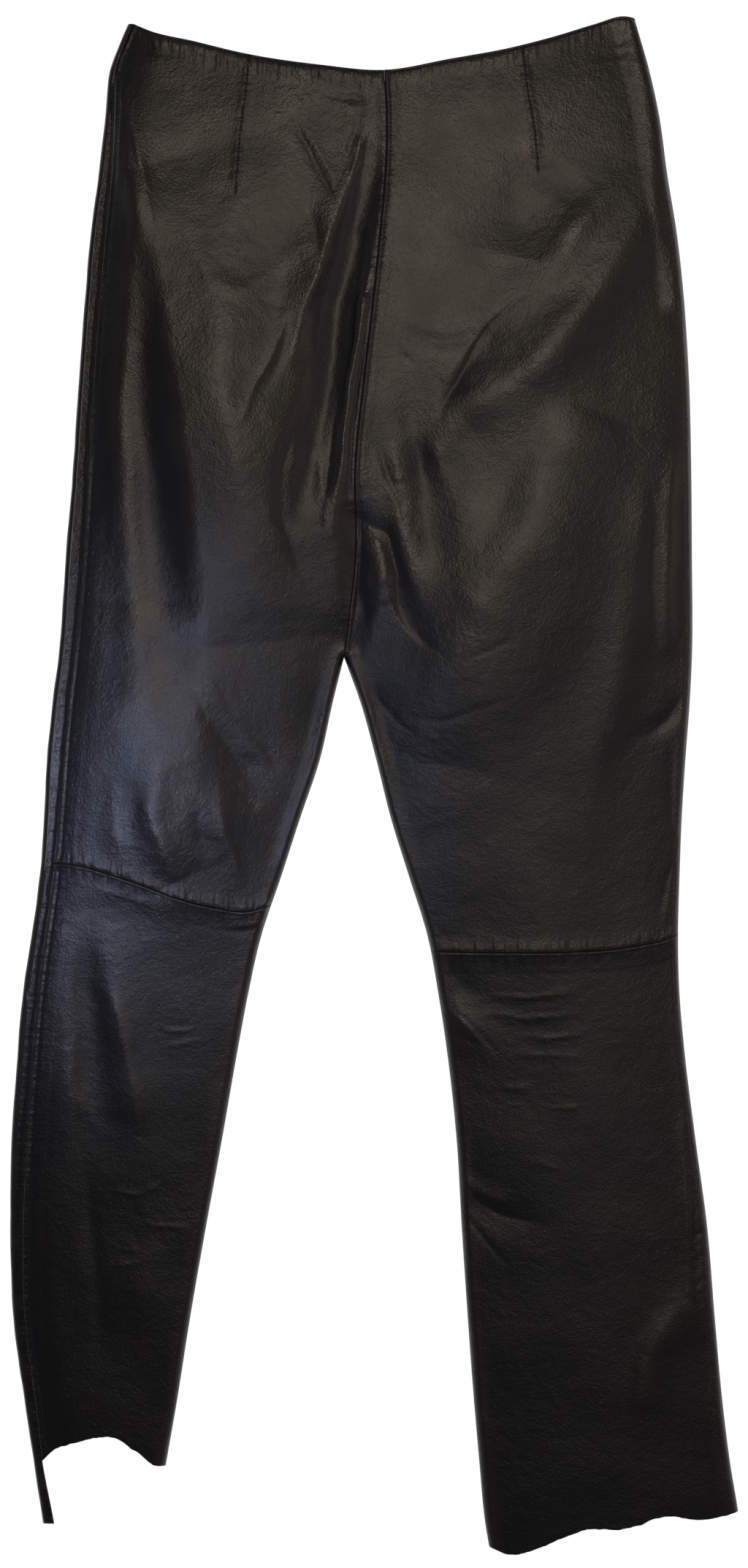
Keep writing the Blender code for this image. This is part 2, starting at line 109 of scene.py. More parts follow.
def make_lamp(lamp):
    """The rectangular softbox that a Lamp describes."""
    data = bpy.data.lights.new(lamp.name, "AREA")
    data.shape = "RECTANGLE"
    data.size = lamp.width
    data.size_y = lamp.length
    data.energy = lamp.power
    data.color = linear(lamp.colour)[:3]
    data.spread = np.radians(lamp.spread)
    light = bpy.data.objects.new(lamp.name, data)
    light.location = lamp.at
    light.rotation_euler = (Vector(lamp.towards) - Vector(lamp.at)).to_track_quat("-Z", "Y").to_euler()
    bpy.context.scene.collection.objects.link(light)


make_camera()
for each in LAMPS:
    make_lamp(each)

# ---------------------------------------------------------------- the cut, mm
WALL = 1.5  # thickness of the leather
SEAM_GAP = 0.3
SEWN_GAP = 0.04  # between the edges of two panels where they are drawn together
FOLD_RADIUS = 3.0  # outside radius of the turned left side edge
FLOOR_LAYER = WALL + SEAM_GAP  # lowest place for the underside of a back panel
EDGE_HEIGHT = FLOOR_LAYER + WALL
THIN_EDGE = 0.25  # thickness left where an edge rolls under
EASE_WIDTH = 34.0  # how far in from the left outline the back panels climb to their full loft
SHOULDER = 0.5  # from any other edge they climb this share of it over a narrow width, the rest over a long one
SHOULDER_WIDTH = 5.0
LONG_EASE = 95.0
EDGE_FADE = 14.0  # the folds fade out towards every edge over this
SOFT_LEVELS = range(-15, 16, 5)  # the distance from the edges is averaged over these levels
SOFT_FROM, SOFT_WIDTH = 8.0, 25.0  # which begins this far in, over this width
FRONT_DROP = 6.0  # the front waist dips below the back one
FRONT_HEM_SHORT = 3.0
CROTCH_Y = 87.5
TAIL_END_Y = -504.0
ZIP_LENGTH = 180.0
ZIP_WIDTH = 6.0
ZIP_THICKNESS = 1.2
ZIP_EASE = 14.0


class Section(NamedTuple):
    """A level, and where each edge and seam crosses it. Above the crotch both inners are the centre seam."""

    name: str
    y: float
    left_edge: float
    side_seam: float
    left_inner: float
    right_inner: float
    right_edge: float


SECTIONS = [Section(*row) for row in (
    ("right hem", -525, -223, -215, -152.5, 79.5, 251.5),
    ("tail end", -504, -226.5, -218.5, -149, 76, 250),
    ("left hem", -462.5, -233, -226.5, -142, 72, 243.5),
    ("ankle", -422.5, -239, -231.5, -135, 68.5, 238.5),
    ("shin", -362.5, -247, -239, -125.5, 64, 233),
    ("low calf", -302.5, -249, -240, -115, 60, 228),
    ("calf", -242.5, -248, -237, -104, 56.5, 220),
    ("high calf", -182.5, -244, -232.5, -93.5, 50, 212.5),
    ("below knee", -142.5, -240.5, -229, -86, 44, 209),
    ("knee", -102.5, -234.5, -224, -77, 36.5, 208),
    ("above knee", -62.5, -229, -218.5, -63.5, 24, 209),
    ("low thigh", -22.5, -226, -215, -50.5, 11.5, 210.5),
    ("thigh", 17.5, -224, -212, -37, 1.5, 213),
    ("top thigh", 57.5, -220, -208.5, -28, -9.5, 216),
    ("crotch", CROTCH_Y, -216, -205, -20.5, -20.5, 217.5),
    ("low seat", 157.5, -211, -198.5, -12.5, -12.5, 217.5),
    ("seat", 217.5, -206, -195, -13, -13, 217),
    ("low hip", 277.5, -202, -191.5, -7, -7, 215.5),
    ("hip", 337.5, -197.5, -187, 0, 0, 211.5),
    ("high hip", 377.5, -194, -183.5, 4, 4, 207),
    ("dart end", 417.5, -188.5, -179.5, 7.5, 7.5, 200.5),
    ("dart top", 457.5, -184, -177.5, 8.5, 8.5, 195),
    ("waist", 487.5, -181, -176, 7, 7, 188.5),
    ("waist tips", 522.5, -167.5, -163, 7, 7, 178.5),
)]

# lines that run across the garment, as points x, y
WAIST = [
    (-167.5, 522), (-154, 515.5), (-122, 507.5), (-89, 499.5), (-36, 491.5), (7, 488), (51, 495.5),
    (94, 503.5), (124.5, 511.5), (150, 519.5), (170, 525), (178.5, 524),
]
LEFT_KNEE = [
    (-230, -53), (-202, -54.5), (-179, -61), (-154, -69.5), (-131, -78), (-108.5, -83.5), (-87, -86),
    (-66, -80),
]
RIGHT_KNEE = [(38, -113.5), (80, -114), (146.5, -113), (165.5, -111.5), (185, -108.5), (200, -105), (211, -99)]
LEFT_HEM = [
    (-228, -462), (-221, -455.5), (-200.5, -447.5), (-177, -445.5), (-160, -456.5), (-151.5, -463),
    (-141, -465),
]
RIGHT_HEM = [
    (78, -519.5), (91.5, -525.2), (107, -522), (131.5, -512.5), (147, -507.5), (167, -507.5), (179.5, -505),
    (191.5, -500), (227, -500.5), (251, -495.5),
]
LEFT_DART = [(-85.5, 498.5), (-88, 471.5), (-91, 449.5), (-93, 426), (-94.5, 403)]
RIGHT_DART = [(101.5, 504), (105, 473), (109, 451.5), (111, 430), (112, 418.5)]

# how far the back panels stand above their sewn edges at each level, before the folds, as y, height
LOFTS = [
    (-525, 6.3), (-450, 6.6), (-300, 7.2), (-100, 7.7), (0, 8.2), (200, 9), (400, 8.5), (480, 7), (525, 5.2),
]


class Fold(NamedTuple):
    """A ridge (rise above 0) or trough along a line from top to bottom.

    lean above 0 makes its right side gentler and its left side steeper. crest runs from 0, a round bell, to
    1, a crisp crest.
    """

    name: str
    width: float
    rise: float
    lean: float
    crest: float
    line: np.ndarray


def folds_of(*rows):
    """Folds from rows of name, width, rise, lean and crest, and then the line's points as x, y, x, y."""
    return [Fold(*row[:5], np.reshape(row[5:], (-1, 2))) for row in rows]


# the main folds, which the solids have too, most of them alike
FOLDS = folds_of(
    ("corner flank", 16, 2.5, 0.4, 0, -184, 478, -176, 450, -168, 420, -160, 390, -152, 362),
    ("belly flank", 52, 8.5, 0.6, 0, -160, 420, -146, 370, -139, 320, -131, 270, -123, 220, -117, 170, -113,
     130, -110, 95),
    ("belly dome", 36, 3.2, 0, 0, -112, 350, -104, 310, -103, 270, -92, 220, -85, 170, -83, 110),
    ("side terrace", 12, 3, 0, 0, -170, 440, -166, 390, -169, 325, -171, 240, -165, 150, -160, 60),
    ("seat ridge", 11, 3, -0.35, 0.3, -10, 432, -20, 400, -32, 372, -40, 345, -49, 318, -58, 288),
    ("seat trough", 12, -5.5, 0, 0, -1, 424, -8, 393, -13, 370, -20, 345, -26, 320, -32, 270, -42, 222, -53,
     185),
    ("ridge by the centre seam", 6, 1.8, 0, 0, -4, 385, -6, 360, -10, 320, -18, 270, -24, 222, -32, 175),
    ("hip ridge", 15, 2.4, 0, 0, 194, 428, 184, 394, 172, 366, 151, 334, 129, 309, 110, 288, 86, 271, 60, 254,
     44, 234),
    ("hip dome", 42, 3, -0.15, 0, 186, 420, 163, 368, 140, 332, 118, 300, 92, 272, 62, 250),
    ("upper hip ridge", 11, 1.3, 0, 0, 173, 414, 150, 392, 132, 372, 115, 338),
    ("upper hip hollow", 26, -2.4, 0, 0, 122, 430, 106, 395, 98, 360),
    ("hip crease", 7, -1.2, 0.3, 0.3, 96, 322, 79, 305, 62, 283, 52, 268, 44, 250),
    ("thigh ridge", 52, 7.2, 0.2, 0, 132, 262, 118, 220, 101, 170, 78, 120, 63, 70, 48, 15),
    ("hollow under the hip", 17, -2, 0, 0, 128, 268, 102, 226, 82, 178, 66, 140),
    ("outer thigh ridge", 16, 1.8, 0, 0, 200, 245, 190, 200, 182, 160, 176, 120, 164, 70, 152, 20, 142, -30),
    ("right seat valley", 12, -1.5, 0.2, 0, 24, 262, 31, 225, 36, 190, 44, 150),
    ("centre valley", 9.5, -5.4, 0, 0.4, -11, 194, -11, 172, -11, 150, -12, 122, -18, 92),
    ("crotch trough", 6.5, -1.8, 0.3, 0, -8, 176, 6, 171, 13, 155, 19, 125, 34, 98),
    ("crotch ridge", 9, 1.6, 0.3, 0, 14, 205, 17, 182, 22, 155, 34, 128),
    ("right side roll", 6, 1.4, 0, 0, 206, 225, 201, 170, 200, 120, 198, 90),
    ("left thigh ridge", 43, 6.2, 0, 0, -158, 125, -157, 70, -154, 20, -146, -20, -130, -64),
    ("left knee ridge", 11, 1.4, 0, 0, -146, 20, -149, -5, -148, -30, -130, -68),
    ("left knee groove", 9, -0.25, 0, 0, -166, 0, -164, -30, -160, -64),
    ("left knee trough", 14, -1.4, 0, 0, -114, 55, -94, 20, -70, -10),
    ("outer thigh crease", 7, -1, 0, 0, 212, 62, 200, 45, 180, 33),
    ("left calf trough", 13, -1.6, 0, 0, -203, -90, -196, -135, -191, -190, -186, -240),
    ("left calf ridge", 14, 1.6, 0, 0, -184, -108, -177, -150, -166, -200, -160, -240),
    ("right calf ridge", 13, 1.4, 0, 0, 45, -150, 60, -162, 85, -180),
    ("right calf trough", 12, -1.2, 0, 0, 58, -262, 80, -290, 115, -300),
    ("right hem fold", 14, 2.2, 0.3, 0, 214, -350, 190, -385, 180, -430),
    ("left inner thigh", 36, -2.6, 0, 0, -17, 118, -24, 75, -36, 25, -50, -20, -64, -66),
    ("right inner thigh", 27, -2.4, 0, 0, -12, 78, -2, 38, 9, -12, 21, -60),
)

# finer creases and crests on top of them, which the solids don't have
CREASES = folds_of(
    # left hip and seat
    ("corner crest", 3.5, 0.6, 0.4, 0.7, -179, 484, -174, 470, -167, 455, -161, 430, -156, 409, -150, 380),
    ("corner crease", 3, -0.45, 0.2, 0.6, -174, 505, -162, 501, -148, 499, -129, 498),
    ("lit flank", 12, 0.6, 0, 0.2, -128, 385, -122, 362, -104, 320, -103, 270, -92, 220, -85, 170),
    ("belly rim", 8, 0.45, 0, 0.2, -127, 380, -114, 352, -97, 338, -78, 342, -50, 366, -40, 382),
    ("seat crest", 3.6, 1, -0.4, 0.8, -4, 440, -13, 415, -22, 390, -31, 368, -38, 345, -46, 320, -53, 292),
    ("valley floor", 5, -0.9, 0, 0.5, -10, 418, -23, 370, -36, 320, -41, 270, -50, 232),
    ("valley branch", 6, -1.2, 0, 0.3, -47, 262, -56, 236, -62, 215, -64, 180),
    ("valley rib", 4, 0.3, 0, 0.3, -52, 240, -56, 215, -58, 190),
    ("second crest", 3.2, 0.6, -0.3, 0.8, -58, 322, -66, 300, -81, 270, -90, 247),
    ("second crease", 4, -0.45, 0, 0.5, -53, 318, -61, 296, -76, 264),
    ("v crease", 3, -0.6, -0.35, 0.8, -55, 458, -48, 440, -40, 424, -31, 408, -23, 396),
    ("v lip", 3, 0.4, 0.3, 0.6, -48, 448, -40, 434, -31, 420, -25, 410),
    ("seat shadow", 6, -0.96, 0, 0.3, -45, 392, -39, 374, -36, 355),
    ("waist pinch", 2.4, -0.45, 0, 0.6, -35, 472, -22, 470, -6, 469),
    ("waist dimple", 6, -0.5, 0, 0, -12, 474, -11, 464),
    ("seat crease", 2.6, -0.55, 0.3, 0.7, -8, 467, -11, 451, -17, 436, -21, 421, -26, 405),
    ("seat crease by the seam", 3, -0.96, 0.2, 0.6, -3, 444, -6, 434, -8, 425, -10, 408),
    ("seat bead", 2.4, 0.5, 0, 0.6, -9, 442, -12, 425, -16, 408),
    ("seam bump", 5, 1.4, 0, 0, -9, 335, -10, 328),
    ("groove by the seam", 3.4, -1.7, 0, 0.5, -8, 374, -11, 345, -15, 322, -18, 295, -22, 270, -30, 222, -37,
     178),
    ("roll by the seam", 3.4, 1.8, 0, 0.4, -8, 330, -10, 312, -15, 292, -19, 270, -22, 222, -29, 172),
    ("inner groove", 2.4, -1.1, 0, 0.6, -3, 326, -7, 300, -13, 262, -17, 222, -17, 190),
    ("lower seat crest", 4, 0.6, 0, 0.4, -40, 230, -35, 200, -34, 165),
    ("low belly crease", 6, -0.84, 0.3, 0.4, -66, 190, -57, 165, -46, 140),
    ("faint belly crease", 3, -0.2, 0, 0.5, -80, 330, -65, 326, -52, 322),
    # right seat and hip
    ("hip crease line", 2.4, -0.75, 0.3, 0.9, 102, 334, 84, 318, 68, 299, 56, 276, 45, 254),
    ("crease branch", 6, -0.6, 0, 0.3, 18, 312, 36, 304, 54, 302, 74, 310),
    ("hook crease", 2.4, -0.25, 0, 0.6, 18, 298, 21, 292, 27, 287),
    ("waist tip creases", 2.6, -0.25, 0, 0.5, 160, 505, 172, 508, 184, 511),
    ("waist tip crease two", 3, -0.25, 0, 0.5, 150, 497, 168, 499, 186, 500),
    # crotch
    ("crotch crease", 3.2, -0.6, 0.3, 0.6, 3, 232, 8, 214, 14, 200, 20, 186),
    ("crotch knuckle", 7, 0.5, 0.3, 0.3, 12, 235, 15, 220, 17, 205),
    ("seat crease right", 5, -0.5, 0, 0.3, 30, 236, 32, 220, 36, 204),
    ("seat crest right", 7, 0.7, 0, 0.2, 42, 236, 44, 220, 50, 200),
    ("knuckle nick", 1.8, -0.25, 0, 0.6, 12, 208, 18, 205, 25, 209),
    ("crotch line", 3, -0.8, 0.35, 0.8, -13, 184, -3, 178, 9, 171, 15, 151, 17, 120, 28, 102, 47, 88),
    ("crotch pad", 12, 1.9, 0, 0, 1, 152, 4, 138, 7, 122),
    ("crotch pit", 5.5, -1.4, 0, 0.3, -5, 136, -6, 114),
    ("low crotch ridge", 9, 0.45, 0, 0.2, 50, 140, 74, 120, 96, 112),
    ("thigh crease", 4, -0.35, 0, 0.5, 98, 102, 86, 95, 70, 88, 55, 84),
    ("inner thigh crease", 2.6, -0.4, 0, 0.7, -3, 66, 8, 52, 18, 42, 30, 35),
    ("inner thigh line", 2.2, -0.3, 0, 0.7, 22, 47, 38, 44, 52, 45, 66, 50, 92, 59),
    ("short inner line", 1.8, -0.25, 0, 0.6, 24, 17, 31, 16, 40, 15),
    ("side groove", 6, -0.96, 0, 0.3, 190, 200, 189, 150, 190, 110),
    ("outer thigh line", 3.2, -0.45, 0.2, 0.7, 214, 66, 204, 52, 192, 38, 174, 32),
    ("outer knee groove", 4, -0.45, 0, 0.3, 204, 30, 202, 0, 204, -40),
    ("long side fold", 3, -0.5, 0.3, 0.7, 211, -28, 206, -40, 200, -62, 196, -84),
    ("side fold crest", 3, 0.5, 0, 0.5, 202, -62, 200, -80, 199, -96),
    ("knee front swell", 12, 0.5, 0, 0, 70, -50, 62, -80, 52, -106),
    ("knee front hollow", 9, -0.3, 0, 0, 84, -55, 77, -80, 74, -104),
    # left thigh and knee
    ("thigh flank", 27, 1.7, 0, 0.1, -124, 105, -122, 60, -120, 20, -114, -25, -104, -60),
    ("thigh crease one", 4, -0.3, 0.3, 0.5, -131, 84, -122, 62, -107, 36, -95, 21, -80, 12),
    ("thigh crease two", 5, -0.45, 0.3, 0.5, -107, 72, -95, 48, -77, 31, -70, 18, -61, 2),
    ("thigh swell", 8, 0.45, 0, 0.2, -104, 62, -90, 38, -80, 20, -72, 4),
    ("knee lobe one", 8, 0.6, 0, 0.3, -178, 0, -176, -30, -169, -56),
    ("knee groove", 6, -0.1, 0, 0.4, -168, -8, -164, -30, -156, -56),
    ("knee rim", 9, 0.9, 0, 0.2, -200, -70, -172, -75, -148, -81, -126, -87),
    ("knee lobe two", 6, 0.6, 0, 0.4, -153, -10, -150, -30, -140, -55, -134, -66),
    ("knee fold", 7, -0.8, 0, 0.4, -122, -10, -119, -30, -110, -52),
    ("knee crest", 5.5, 0.9, 0, 0.5, -106, -5, -103, -30, -95, -49, -92, -63),
    ("knee pit", 6, -0.6, 0, 0.3, -98, -8, -88, -10, -78, -16),
    ("under the knee", 2.2, 0.4, 0, 0.7, -94, -96, -84, -95, -73, -91),
    ("under the knee groove", 2.2, -0.4, 0, 0.6, -100, -99, -84, -98, -72, -94),
    # left calf
    ("calf crest", 5, 0.6, 0, 0.4, -178, -140, -176, -152, -167, -192, -162, -232),
    ("side roll", 8, 0.7, 0, 0.2, -206, -100, -205, -150, -208, -210, -210, -280),
    ("crinkled roll", 6, 0.4, 0, 0.3, -205, -170, -205, -205, -197, -222, -185, -238),
    ("shin groove", 7, -0.84, 0, 0.3, -196, -262, -193, -300, -189, -340, -186, -390),
    ("shin swell", 16, 1.2, 0, 0, -152, -310, -156, -335, -150, -385),
    ("calf line one", 1.6, 0.4, 0, 0.8, -181, -276, -161, -279, -142, -268),
    ("calf line two", 1.8, 0.4, 0, 0.7, -158, -298, -144, -301, -126, -302),
    ("calf line three", 1.8, 0.4, 0, 0.7, -178, -328, -160, -324),
    ("calf line four", 1.8, 0.4, 0, 0.6, -147, -165, -136, -167, -124, -166),
    ("calf line five", 1.8, 0.32, 0, 0.6, -141, -177, -130, -175, -120, -173),
    # right calf
    ("pointed lip", 5, 0.65, 0.4, 0.4, 49, -152, 60, -160, 72, -172),
    ("pointed crease", 2.6, -0.55, 0.3, 0.7, 55, -154, 68, -165, 84, -182),
    ("pointed crease below", 2.6, -0.3, 0, 0.6, 52, -166, 62, -172, 72, -178),
    ("knee back hollow", 8, -0.6, 0, 0, 52, -118, 58, -134, 70, -142),
    ("calf fold one", 2.6, 0.4, 0, 0.5, 80, -142, 108, -144, 136, -141),
    ("calf fold two", 2.8, 0.4, 0, 0.5, 74, -155, 106, -158, 138, -156),
    ("calf fold three", 2.4, 0.4, 0, 0.5, 104, -170, 121, -172, 140, -170),
    ("calf fold four", 2.4, 0.4, 0, 0.5, 98, -183, 118, -184, 139, -185),
    ("calf fold five", 2.2, 0.32, 0, 0.5, 87, -205, 98, -206, 108, -204),
    ("calf fold six", 2, 0.32, 0, 0.5, 120, -222, 130, -220, 140, -219),
    ("shin line one", 2, 0.25, 0, 0.6, 110, -256, 120, -260, 130, -263),
    ("shin crease", 2.6, -0.45, 0, 0.7, 60, -270, 78, -288, 95, -296, 116, -299),
    ("shin crease two", 2.4, -0.4, 0, 0.7, 62, -292, 76, -310, 92, -328),
    ("shin crest", 7, 1.1, 0, 0.3, 60, -268, 72, -277, 90, -284),
    ("imprint ridge", 3.5, 0.65, 0, 0.5, 211, -225, 213, -285, 214, -330, 215, -372),
    ("imprint groove", 2.6, -0.5, 0, 0.6, 217, -235, 218, -285, 218, -330, 221, -385),
)


# ---------------------------------------------------------------- lines and distances
def smooth(at, knots, values):
    """Cubic Hermite curve through the knots, each with the slope of the line between its two neighbours."""
    knots, values = np.asarray(knots, float), np.asarray(values, float)
    slopes = np.gradient(values, knots)
    i = np.clip(np.searchsorted(knots, at) - 1, 0, len(knots) - 2)
    span = knots[i + 1] - knots[i]
    t = np.clip((at - knots[i]) / span, 0.0, 1.0)
    rise = t * t * (3 - 2 * t)
    lead_in = t * (1 - t) ** 2 * span * slopes[i]
    lead_out = t * t * (t - 1) * span * slopes[i + 1]
    return values[i] * (1 - rise) + values[i + 1] * rise + lead_in + lead_out


def edge(column, y):
    """X of an edge or seam at level y. An inner edge turns sharply at the crotch, so it is two curves."""
    y = np.asarray(y, float)

    def curve(sections):
        return smooth(y, [s.y for s in sections], [getattr(s, column) for s in sections])

    if column not in ("left_inner", "right_inner"):
        return curve(SECTIONS)
    seam, leg = curve([s for s in SECTIONS if s.y >= CROTCH_Y]), curve([s for s in SECTIONS if s.y <= CROTCH_Y])
    return np.where(y >= CROTCH_Y, seam, leg)


def across(line, at):
    """Y of a line across the garment, at X. Any table of pairs is read in the same way."""
    return smooth(np.asarray(at, float), *zip(*line))


def ramp(value, width):
    """0 to 1 over a width, with level ends."""
    t = np.clip(value / width, 0.0, 1.0)
    return t * t * (3 - 2 * t)


def bell(distance, width):
    """1 at no distance, and falling off both ways as a Gaussian."""
    return np.exp(-((distance / width) ** 2))


LATTICE = 64
SLOPE_ANGLES = np.random.default_rng(11).uniform(0, 2 * np.pi, (LATTICE, LATTICE))


def noise(x, y, seed):
    """Gradient noise, about -0.7 to 0.7: a slope at each lattice point, blended between the nearest four."""
    x, y = np.broadcast_arrays(np.asarray(x, float), np.asarray(y, float))
    i, j = np.floor(x).astype(int), np.floor(y).astype(int)
    total = np.zeros(x.shape)
    for a in (0, 1):
        for b in (0, 1):
            angle = SLOPE_ANGLES[(i + a + 7 * seed) % LATTICE, (j + b + 13 * seed) % LATTICE]
            dx, dy = x - i - a, y - j - b
            fade = [1 - t * t * t * (t * (6 * t - 15) + 10) for t in (abs(dx), abs(dy))]
            total += (np.cos(angle) * dx + np.sin(angle) * dy) * fade[0] * fade[1]
    return total


ROUTE_STEPS = 4


def route(points):
    """Points along a Catmull-Rom curve through the given ones, ROUTE_STEPS to a span."""
    p = np.array(points, float)
    p = np.vstack([2 * p[0] - p[1], p, 2 * p[-1] - p[-2]])
    t = np.linspace(0, 1, ROUTE_STEPS, endpoint=False)[:, None]
    spans = []
    for a, b, c, d in zip(p[:-3], p[1:-2], p[2:-1], p[3:]):
        square, cube = 2 * a - 5 * b + 4 * c - d, 3 * b - a - 3 * c + d
        spans.append(0.5 * (2 * b + (c - a) * t + square * t**2 + cube * t**3))
    return np.vstack([*spans, p[-2]])


def beside(line, x, y):
    """Distance from a line, the side, and the share of the way along it.

    The side is 1 on the right of a line that runs down and -1 on its left, and turns smoothly round the two
    ends.
    """
    nearest = np.full(np.shape(x), np.inf)
    side, along = np.zeros(np.shape(x)), np.zeros(np.shape(x))
    for k, (a, b) in enumerate(zip(line[:-1], line[1:])):
        step = b - a
        dx, dy = x - a[0], y - a[1]
        share = np.clip((dx * step[0] + dy * step[1]) / (step @ step), 0, 1)
        away = np.hypot(dx - share * step[0], dy - share * step[1])
        closer = away < nearest
        square = (dy * step[0] - dx * step[1]) / np.hypot(*step)
        side = np.where(closer, np.clip(square / np.maximum(away, 1e-6), -1, 1), side)
        along = np.where(closer, (k + share) / (len(line) - 1), along)
        nearest = np.minimum(nearest, away)
    return nearest, side, along


WANDER = ((38, 2.0), (11, 0.7))  # noise that moves the folds' lines: its size and shift, mm
FOLD_REACH = 2.6  # beyond this many widths a fold is nothing
CREST_FALL, CREST_ROUND = 1.8, 0.007  # how a crisp crest falls off, and its rounding
CREST_TOP = 0.15  # brings its top to 1
WAVER = 0.35  # share of its rise by which a fold wavers


def fold_heights(folds, x, y):
    """Sum of the folds: each a bell or a crisp crest across its line, tapered to nothing at both ends.

    The points are first moved by slow noise, so that no fold is a perfect curve, and each fold's rise wavers.
    """
    xs, ys = x, y
    for seed, (size, shift) in enumerate(WANDER, 1):
        xs = xs + shift * noise(x / size, y / size, seed)
        ys = ys + shift * noise(x / size, y / size, seed + 2)
    total = np.zeros(np.shape(x))
    for number, fold in enumerate(folds):
        line = route(fold.line)
        reach = FOLD_REACH * fold.width * (1 + abs(fold.lean)) + 1
        near = np.ones(np.shape(x), bool)
        for at, ends in zip((xs, ys), line.T):
            near &= abs(at - (ends.min() + ends.max()) / 2) < np.ptp(ends) / 2 + reach
        if not near.any():
            continue
        away, side, along = beside(line, xs[near], ys[near])
        q = away / (fold.width * (1 + fold.lean * side))
        crisp = np.exp(CREST_TOP - CREST_FALL * np.sqrt(q * q + CREST_ROUND))
        shape = (1 - fold.crest) * np.exp(-q * q) + fold.crest * crisp
        taper = np.sin(np.pi * (0.05 + 0.9 * along)) ** 0.8
        waver = 1 + WAVER * noise(along * 4, number * 0.37, number % 9)
        total[near] += fold.rise * shape * taper * waver
    return total


def from_inner(x, y):
    """Whether a point is on the right half, and its distance in from the inner edge of its leg."""
    left_inner, right_inner = edge("left_inner", y), edge("right_inner", y)
    right = x > (left_inner + right_inner) / 2
    return right, np.where(right, x - right_inner, left_inner - x)


def from_edges(x, y):
    """Distances in from the left outline, and from the nearest of the right outline and the inner leg edges.

    Above the crotch, the inner edge is the crotch point.
    """
    crotch = np.hypot(x - edge("left_inner", CROTCH_Y), y - CROTCH_Y)
    inner = np.where(y > CROTCH_Y, crotch, from_inner(x, y)[1])
    inner = np.minimum(inner, edge("right_edge", y) - x)
    return np.clip(x - edge("left_edge", y), 0.0, None), np.clip(inner, 0.0, None)


def eased(distance, width):
    """0 to 1 over a width, steepest at the start and level at the end."""
    return 1 - (1 - np.clip(distance / width, 0, 1)) ** 2


def zip_lift(x, y):
    """How far the side zip lifts the back panel that lies on it."""
    near = 1 - ramp(edge("right_edge", y) - x - ZIP_WIDTH, ZIP_EASE)
    top = across(WAIST, WAIST[-1][0])
    return (ZIP_THICKNESS + SEAM_GAP) * (near * ramp(y - (top - ZIP_LENGTH - 2 * ZIP_EASE), ZIP_EASE))


def back_form(x, y):
    """The broad form of the back panels: the sewn edge, a pillow that rises from it, and the main folds."""
    left, other = from_edges(x, y)
    softened = np.mean([from_edges(x, y + shift)[1] for shift in SOFT_LEVELS], axis=0)
    other = other + (softened - other) * ramp(other - SOFT_FROM, SOFT_WIDTH)
    loft = across(LOFTS, y)
    shoulder = SHOULDER * eased(other, SHOULDER_WIDTH) + (1 - SHOULDER) * eased(other, LONG_EASE)
    pillow = loft * eased(left, EASE_WIDTH) * shoulder
    folds = fold_heights(FOLDS, x, y) * ramp(np.minimum(left, other), EDGE_FADE)
    return EDGE_HEIGHT + zip_lift(x, y) + np.maximum(pillow + folds, 0.0)


# ---------------------------------------------------------------- what sewing and wear add
SIDE_ROLL = (1.1, 1.0)  # a pressed edge rolls under over this width, by this much
WAIST_ROLL = (1.5, 0.9)
FRONT_SEAM_ROLL = (0.8, 0.6)
GROOVE = (0.5, 0.7)
STITCH_ROW = 3.5  # topstitching runs this far from its seam
WAIST_STITCH_ROW = 1.5
STITCH_PITCH = 2.8
# what runs beside a seam: its distance from it, half width and rise
WELT, WELT_DENT = (1.5, 1.1, 0.5), (STITCH_ROW, 0.6, -0.2)
WAIST_SWELL, WAIST_DENT = (5.0, 3.0, 0.2), (WAIST_STITCH_ROW, 0.5, -0.4)
KNEE_LIP = (-1.3, 0.8, 0.3)
SIDE_LIP, SIDE_DENT = (1.1, 0.8, 0.4), (STITCH_ROW, 0.7, -0.25)
DART_DIP = (0.0, 0.5, -0.3)
# how thick the layers folded under a seam print through, and how far from it they end
WAIST_ALLOWANCE, KNEE_ALLOWANCE = (0.14, 9.5), (0.13, 12.0)
CENTRE_ALLOWANCE, SIDE_ALLOWANCE = (0.1, 8.0), (0.15, 12.0)
ALLOWANCE_EASE = 2.2
FAR = 1000.0  # a distance from a seam that isn't there
# a dart ends in a swelling: how far below, its half width and rise
DART_END, DART_SWELL, DART_RISE = 12.0, 11.0, 0.4


class Gathers(NamedTuple):
    """Puckers along a seam: spacing, how far they reach, rise (mm), the noise's seed, slant, and their
    strength: a base, and swells, each its middle along the seam, half width and how much more."""

    spacing: float
    reach: float
    rise: float
    seed: int
    slant: float = 0.0
    base: float = 1.0
    swells: tuple = ()


WAIST_GATHERS = Gathers(4.4, 10, 0.42, 21, 0, 0.5, ((-30, 45, 1.2), (-115, 30, 0.6)))
KNEE_GATHERS = Gathers(3.7, 7, 0.44, 31)
CENTRE_GATHERS = Gathers(4.4, 6, 0.22, 41, 0, 0.5, ((300, 90, 1),))
SIDE_GATHERS = Gathers(4.2, 10, 0.30, 51, 0.2, 0.45, ((-30, 100, 0.75),))
TURNED_GATHERS = Gathers(4.6, 6, 0.35, 55)
SHIN_GATHERS = Gathers(8.5, 9, 0.85, 61, 0.9, 0, ((-305, 70, 1),))
DART_GATHERS = (Gathers(3, 4, 0.25, 71, 0.4), Gathers(3, 4, 0.25, 81, 0.4))
FRONT_KNEE_GATHERS = Gathers(3.7, 8, 0.2, 91)
FRONT_CENTRE_GATHERS = Gathers(4, 6, 0.15, 95)


def roll(distance, radius, drop):
    """A quarter ellipse down to an edge."""
    t = 1 - np.clip(distance / radius, 0, 1)
    return -drop * (1 - np.sqrt(1 - t * t))


def ridge(distance, at, width, rise):
    """A bell along a seam, raised or pressed in."""
    return rise * bell(distance - at, width)


def allowance(distance, height, reach):
    """The step where the layers folded under a seam end."""
    return height * (1 - ramp(distance - reach, ALLOWANCE_EASE))


